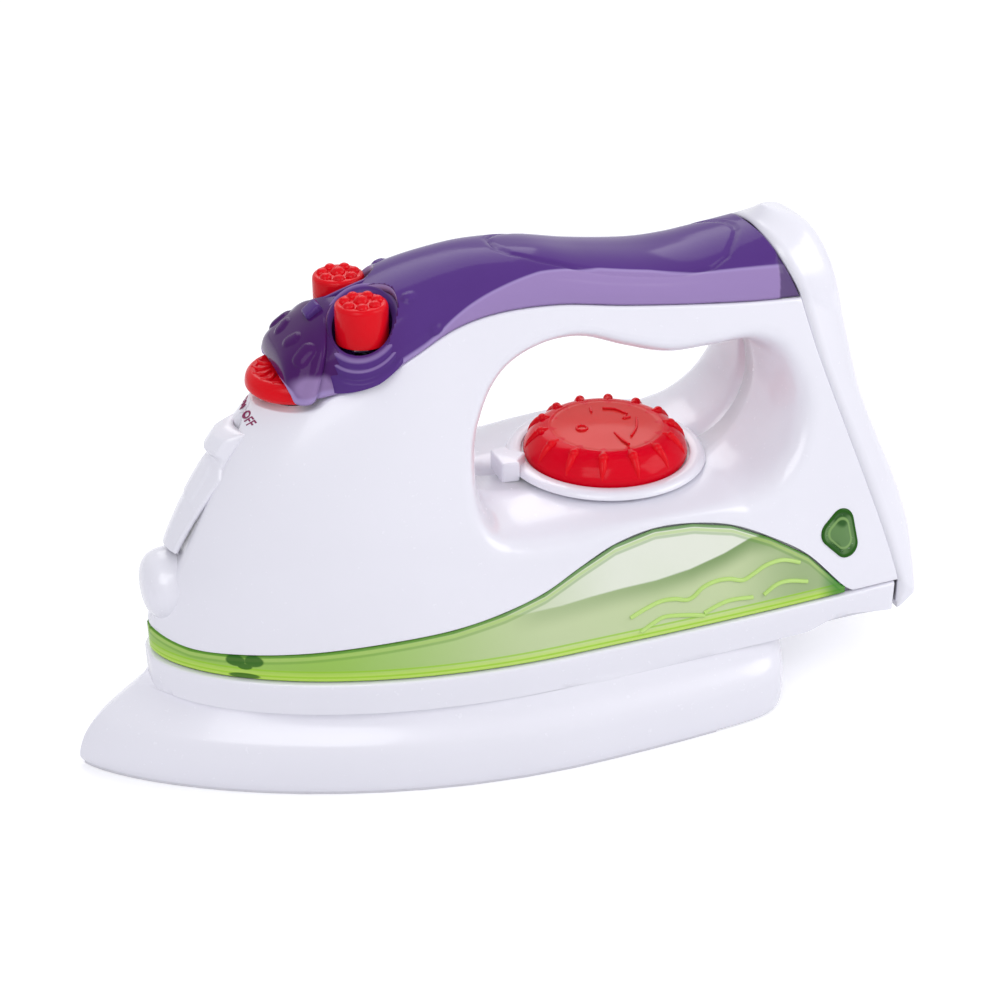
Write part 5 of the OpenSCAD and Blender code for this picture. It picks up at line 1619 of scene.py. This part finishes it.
class IRON_OT_stage(bpy.types.Operator):
    """Sets the pale floor, the soft lamps and the camera"""
    bl_idname = "toy_iron.stage"
    bl_label = "Stage"

    def execute(self, context):
        scene = context.scene
        scene.view_settings.view_transform = "Standard"
        scene.world = sky()
        ground = bmesh.new()
        bmesh.ops.create_grid(ground, x_segments=1, y_segments=1, size=FLOOR_HALF)
        bmesh.ops.translate(ground, vec=(0, 0, -0.0001), verts=ground.verts)
        floor = finish_mesh(ground, "floor", away=(0, 0, 1))
        dress(floor, floor_finish())
        for name, place, size, power in LAMPS:
            lamp = bpy.data.lights.new(name, "AREA")
            lamp.shape = "SQUARE"
            lamp.size = size
            lamp.energy = power
            light = placed(name, lamp)
            light.location = place
            light.rotation_euler = (Vector(place) - TARGET).to_track_quat("Z", "Y").to_euler()
        back = Vector((math.sin(AZIMUTH) * math.cos(ELEVATION), -math.cos(AZIMUTH) * math.cos(ELEVATION),
                       math.sin(ELEVATION)))
        optics = bpy.data.cameras.new("camera")
        optics.lens = LENS_LENGTH
        optics.sensor_width = SENSOR_WIDTH
        optics.clip_start = 0.01
        camera = placed("camera", optics)
        camera.location = TARGET + back * DISTANCE
        camera.rotation_euler = back.to_track_quat("Z", "Y").to_euler()
        scene.camera = camera
        return {"FINISHED"}


class IRON_PT_panel(bpy.types.Panel):
    """Lists the iron's sizes, colours and build steps"""
    bl_idname = "IRON_PT_panel"
    bl_label = "Toy Iron"
    bl_space_type = "VIEW_3D"
    bl_region_type = "UI"
    bl_category = "Toy Iron"

    def draw(self, context):
        for group in (context.scene.iron_sizes, context.scene.iron_colours):
            for key in group.bl_rna.properties.keys():
                if key not in ("rna_type", "name"):
                    self.layout.prop(group, key)
        for step in STEPS:
            self.layout.operator(step.bl_idname)


STEPS = (IRON_OT_body, IRON_OT_cover, IRON_OT_heel, IRON_OT_tank, IRON_OT_skirt, IRON_OT_nose, IRON_OT_dial,
         IRON_OT_buttons, IRON_OT_lever, IRON_OT_lenses, IRON_OT_letters, IRON_OT_inner, IRON_OT_stage)
CLASSES = (IronSizes, IronColours) + STEPS + (IRON_PT_panel,)


def register():
    for entry in CLASSES:
        bpy.utils.register_class(entry)
    bpy.types.Scene.iron_sizes = PointerProperty(type=IronSizes)
    bpy.types.Scene.iron_colours = PointerProperty(type=IronColours)


def unregister():
    del bpy.types.Scene.iron_colours
    del bpy.types.Scene.iron_sizes
    for entry in reversed(CLASSES):
        bpy.utils.unregister_class(entry)


def main():
    register()
    bpy.ops.toy_iron.body()
    bpy.ops.toy_iron.cover()
    bpy.ops.toy_iron.heel()
    bpy.ops.toy_iron.tank()
    bpy.ops.toy_iron.skirt()
    bpy.ops.toy_iron.nose()
    bpy.ops.toy_iron.dial()
    bpy.ops.toy_iron.buttons()
    bpy.ops.toy_iron.lever()
    bpy.ops.toy_iron.lenses()
    bpy.ops.toy_iron.letters()
    bpy.ops.toy_iron.inner()
    bpy.ops.toy_iron.stage()


if __name__ == "__main__":
    main()
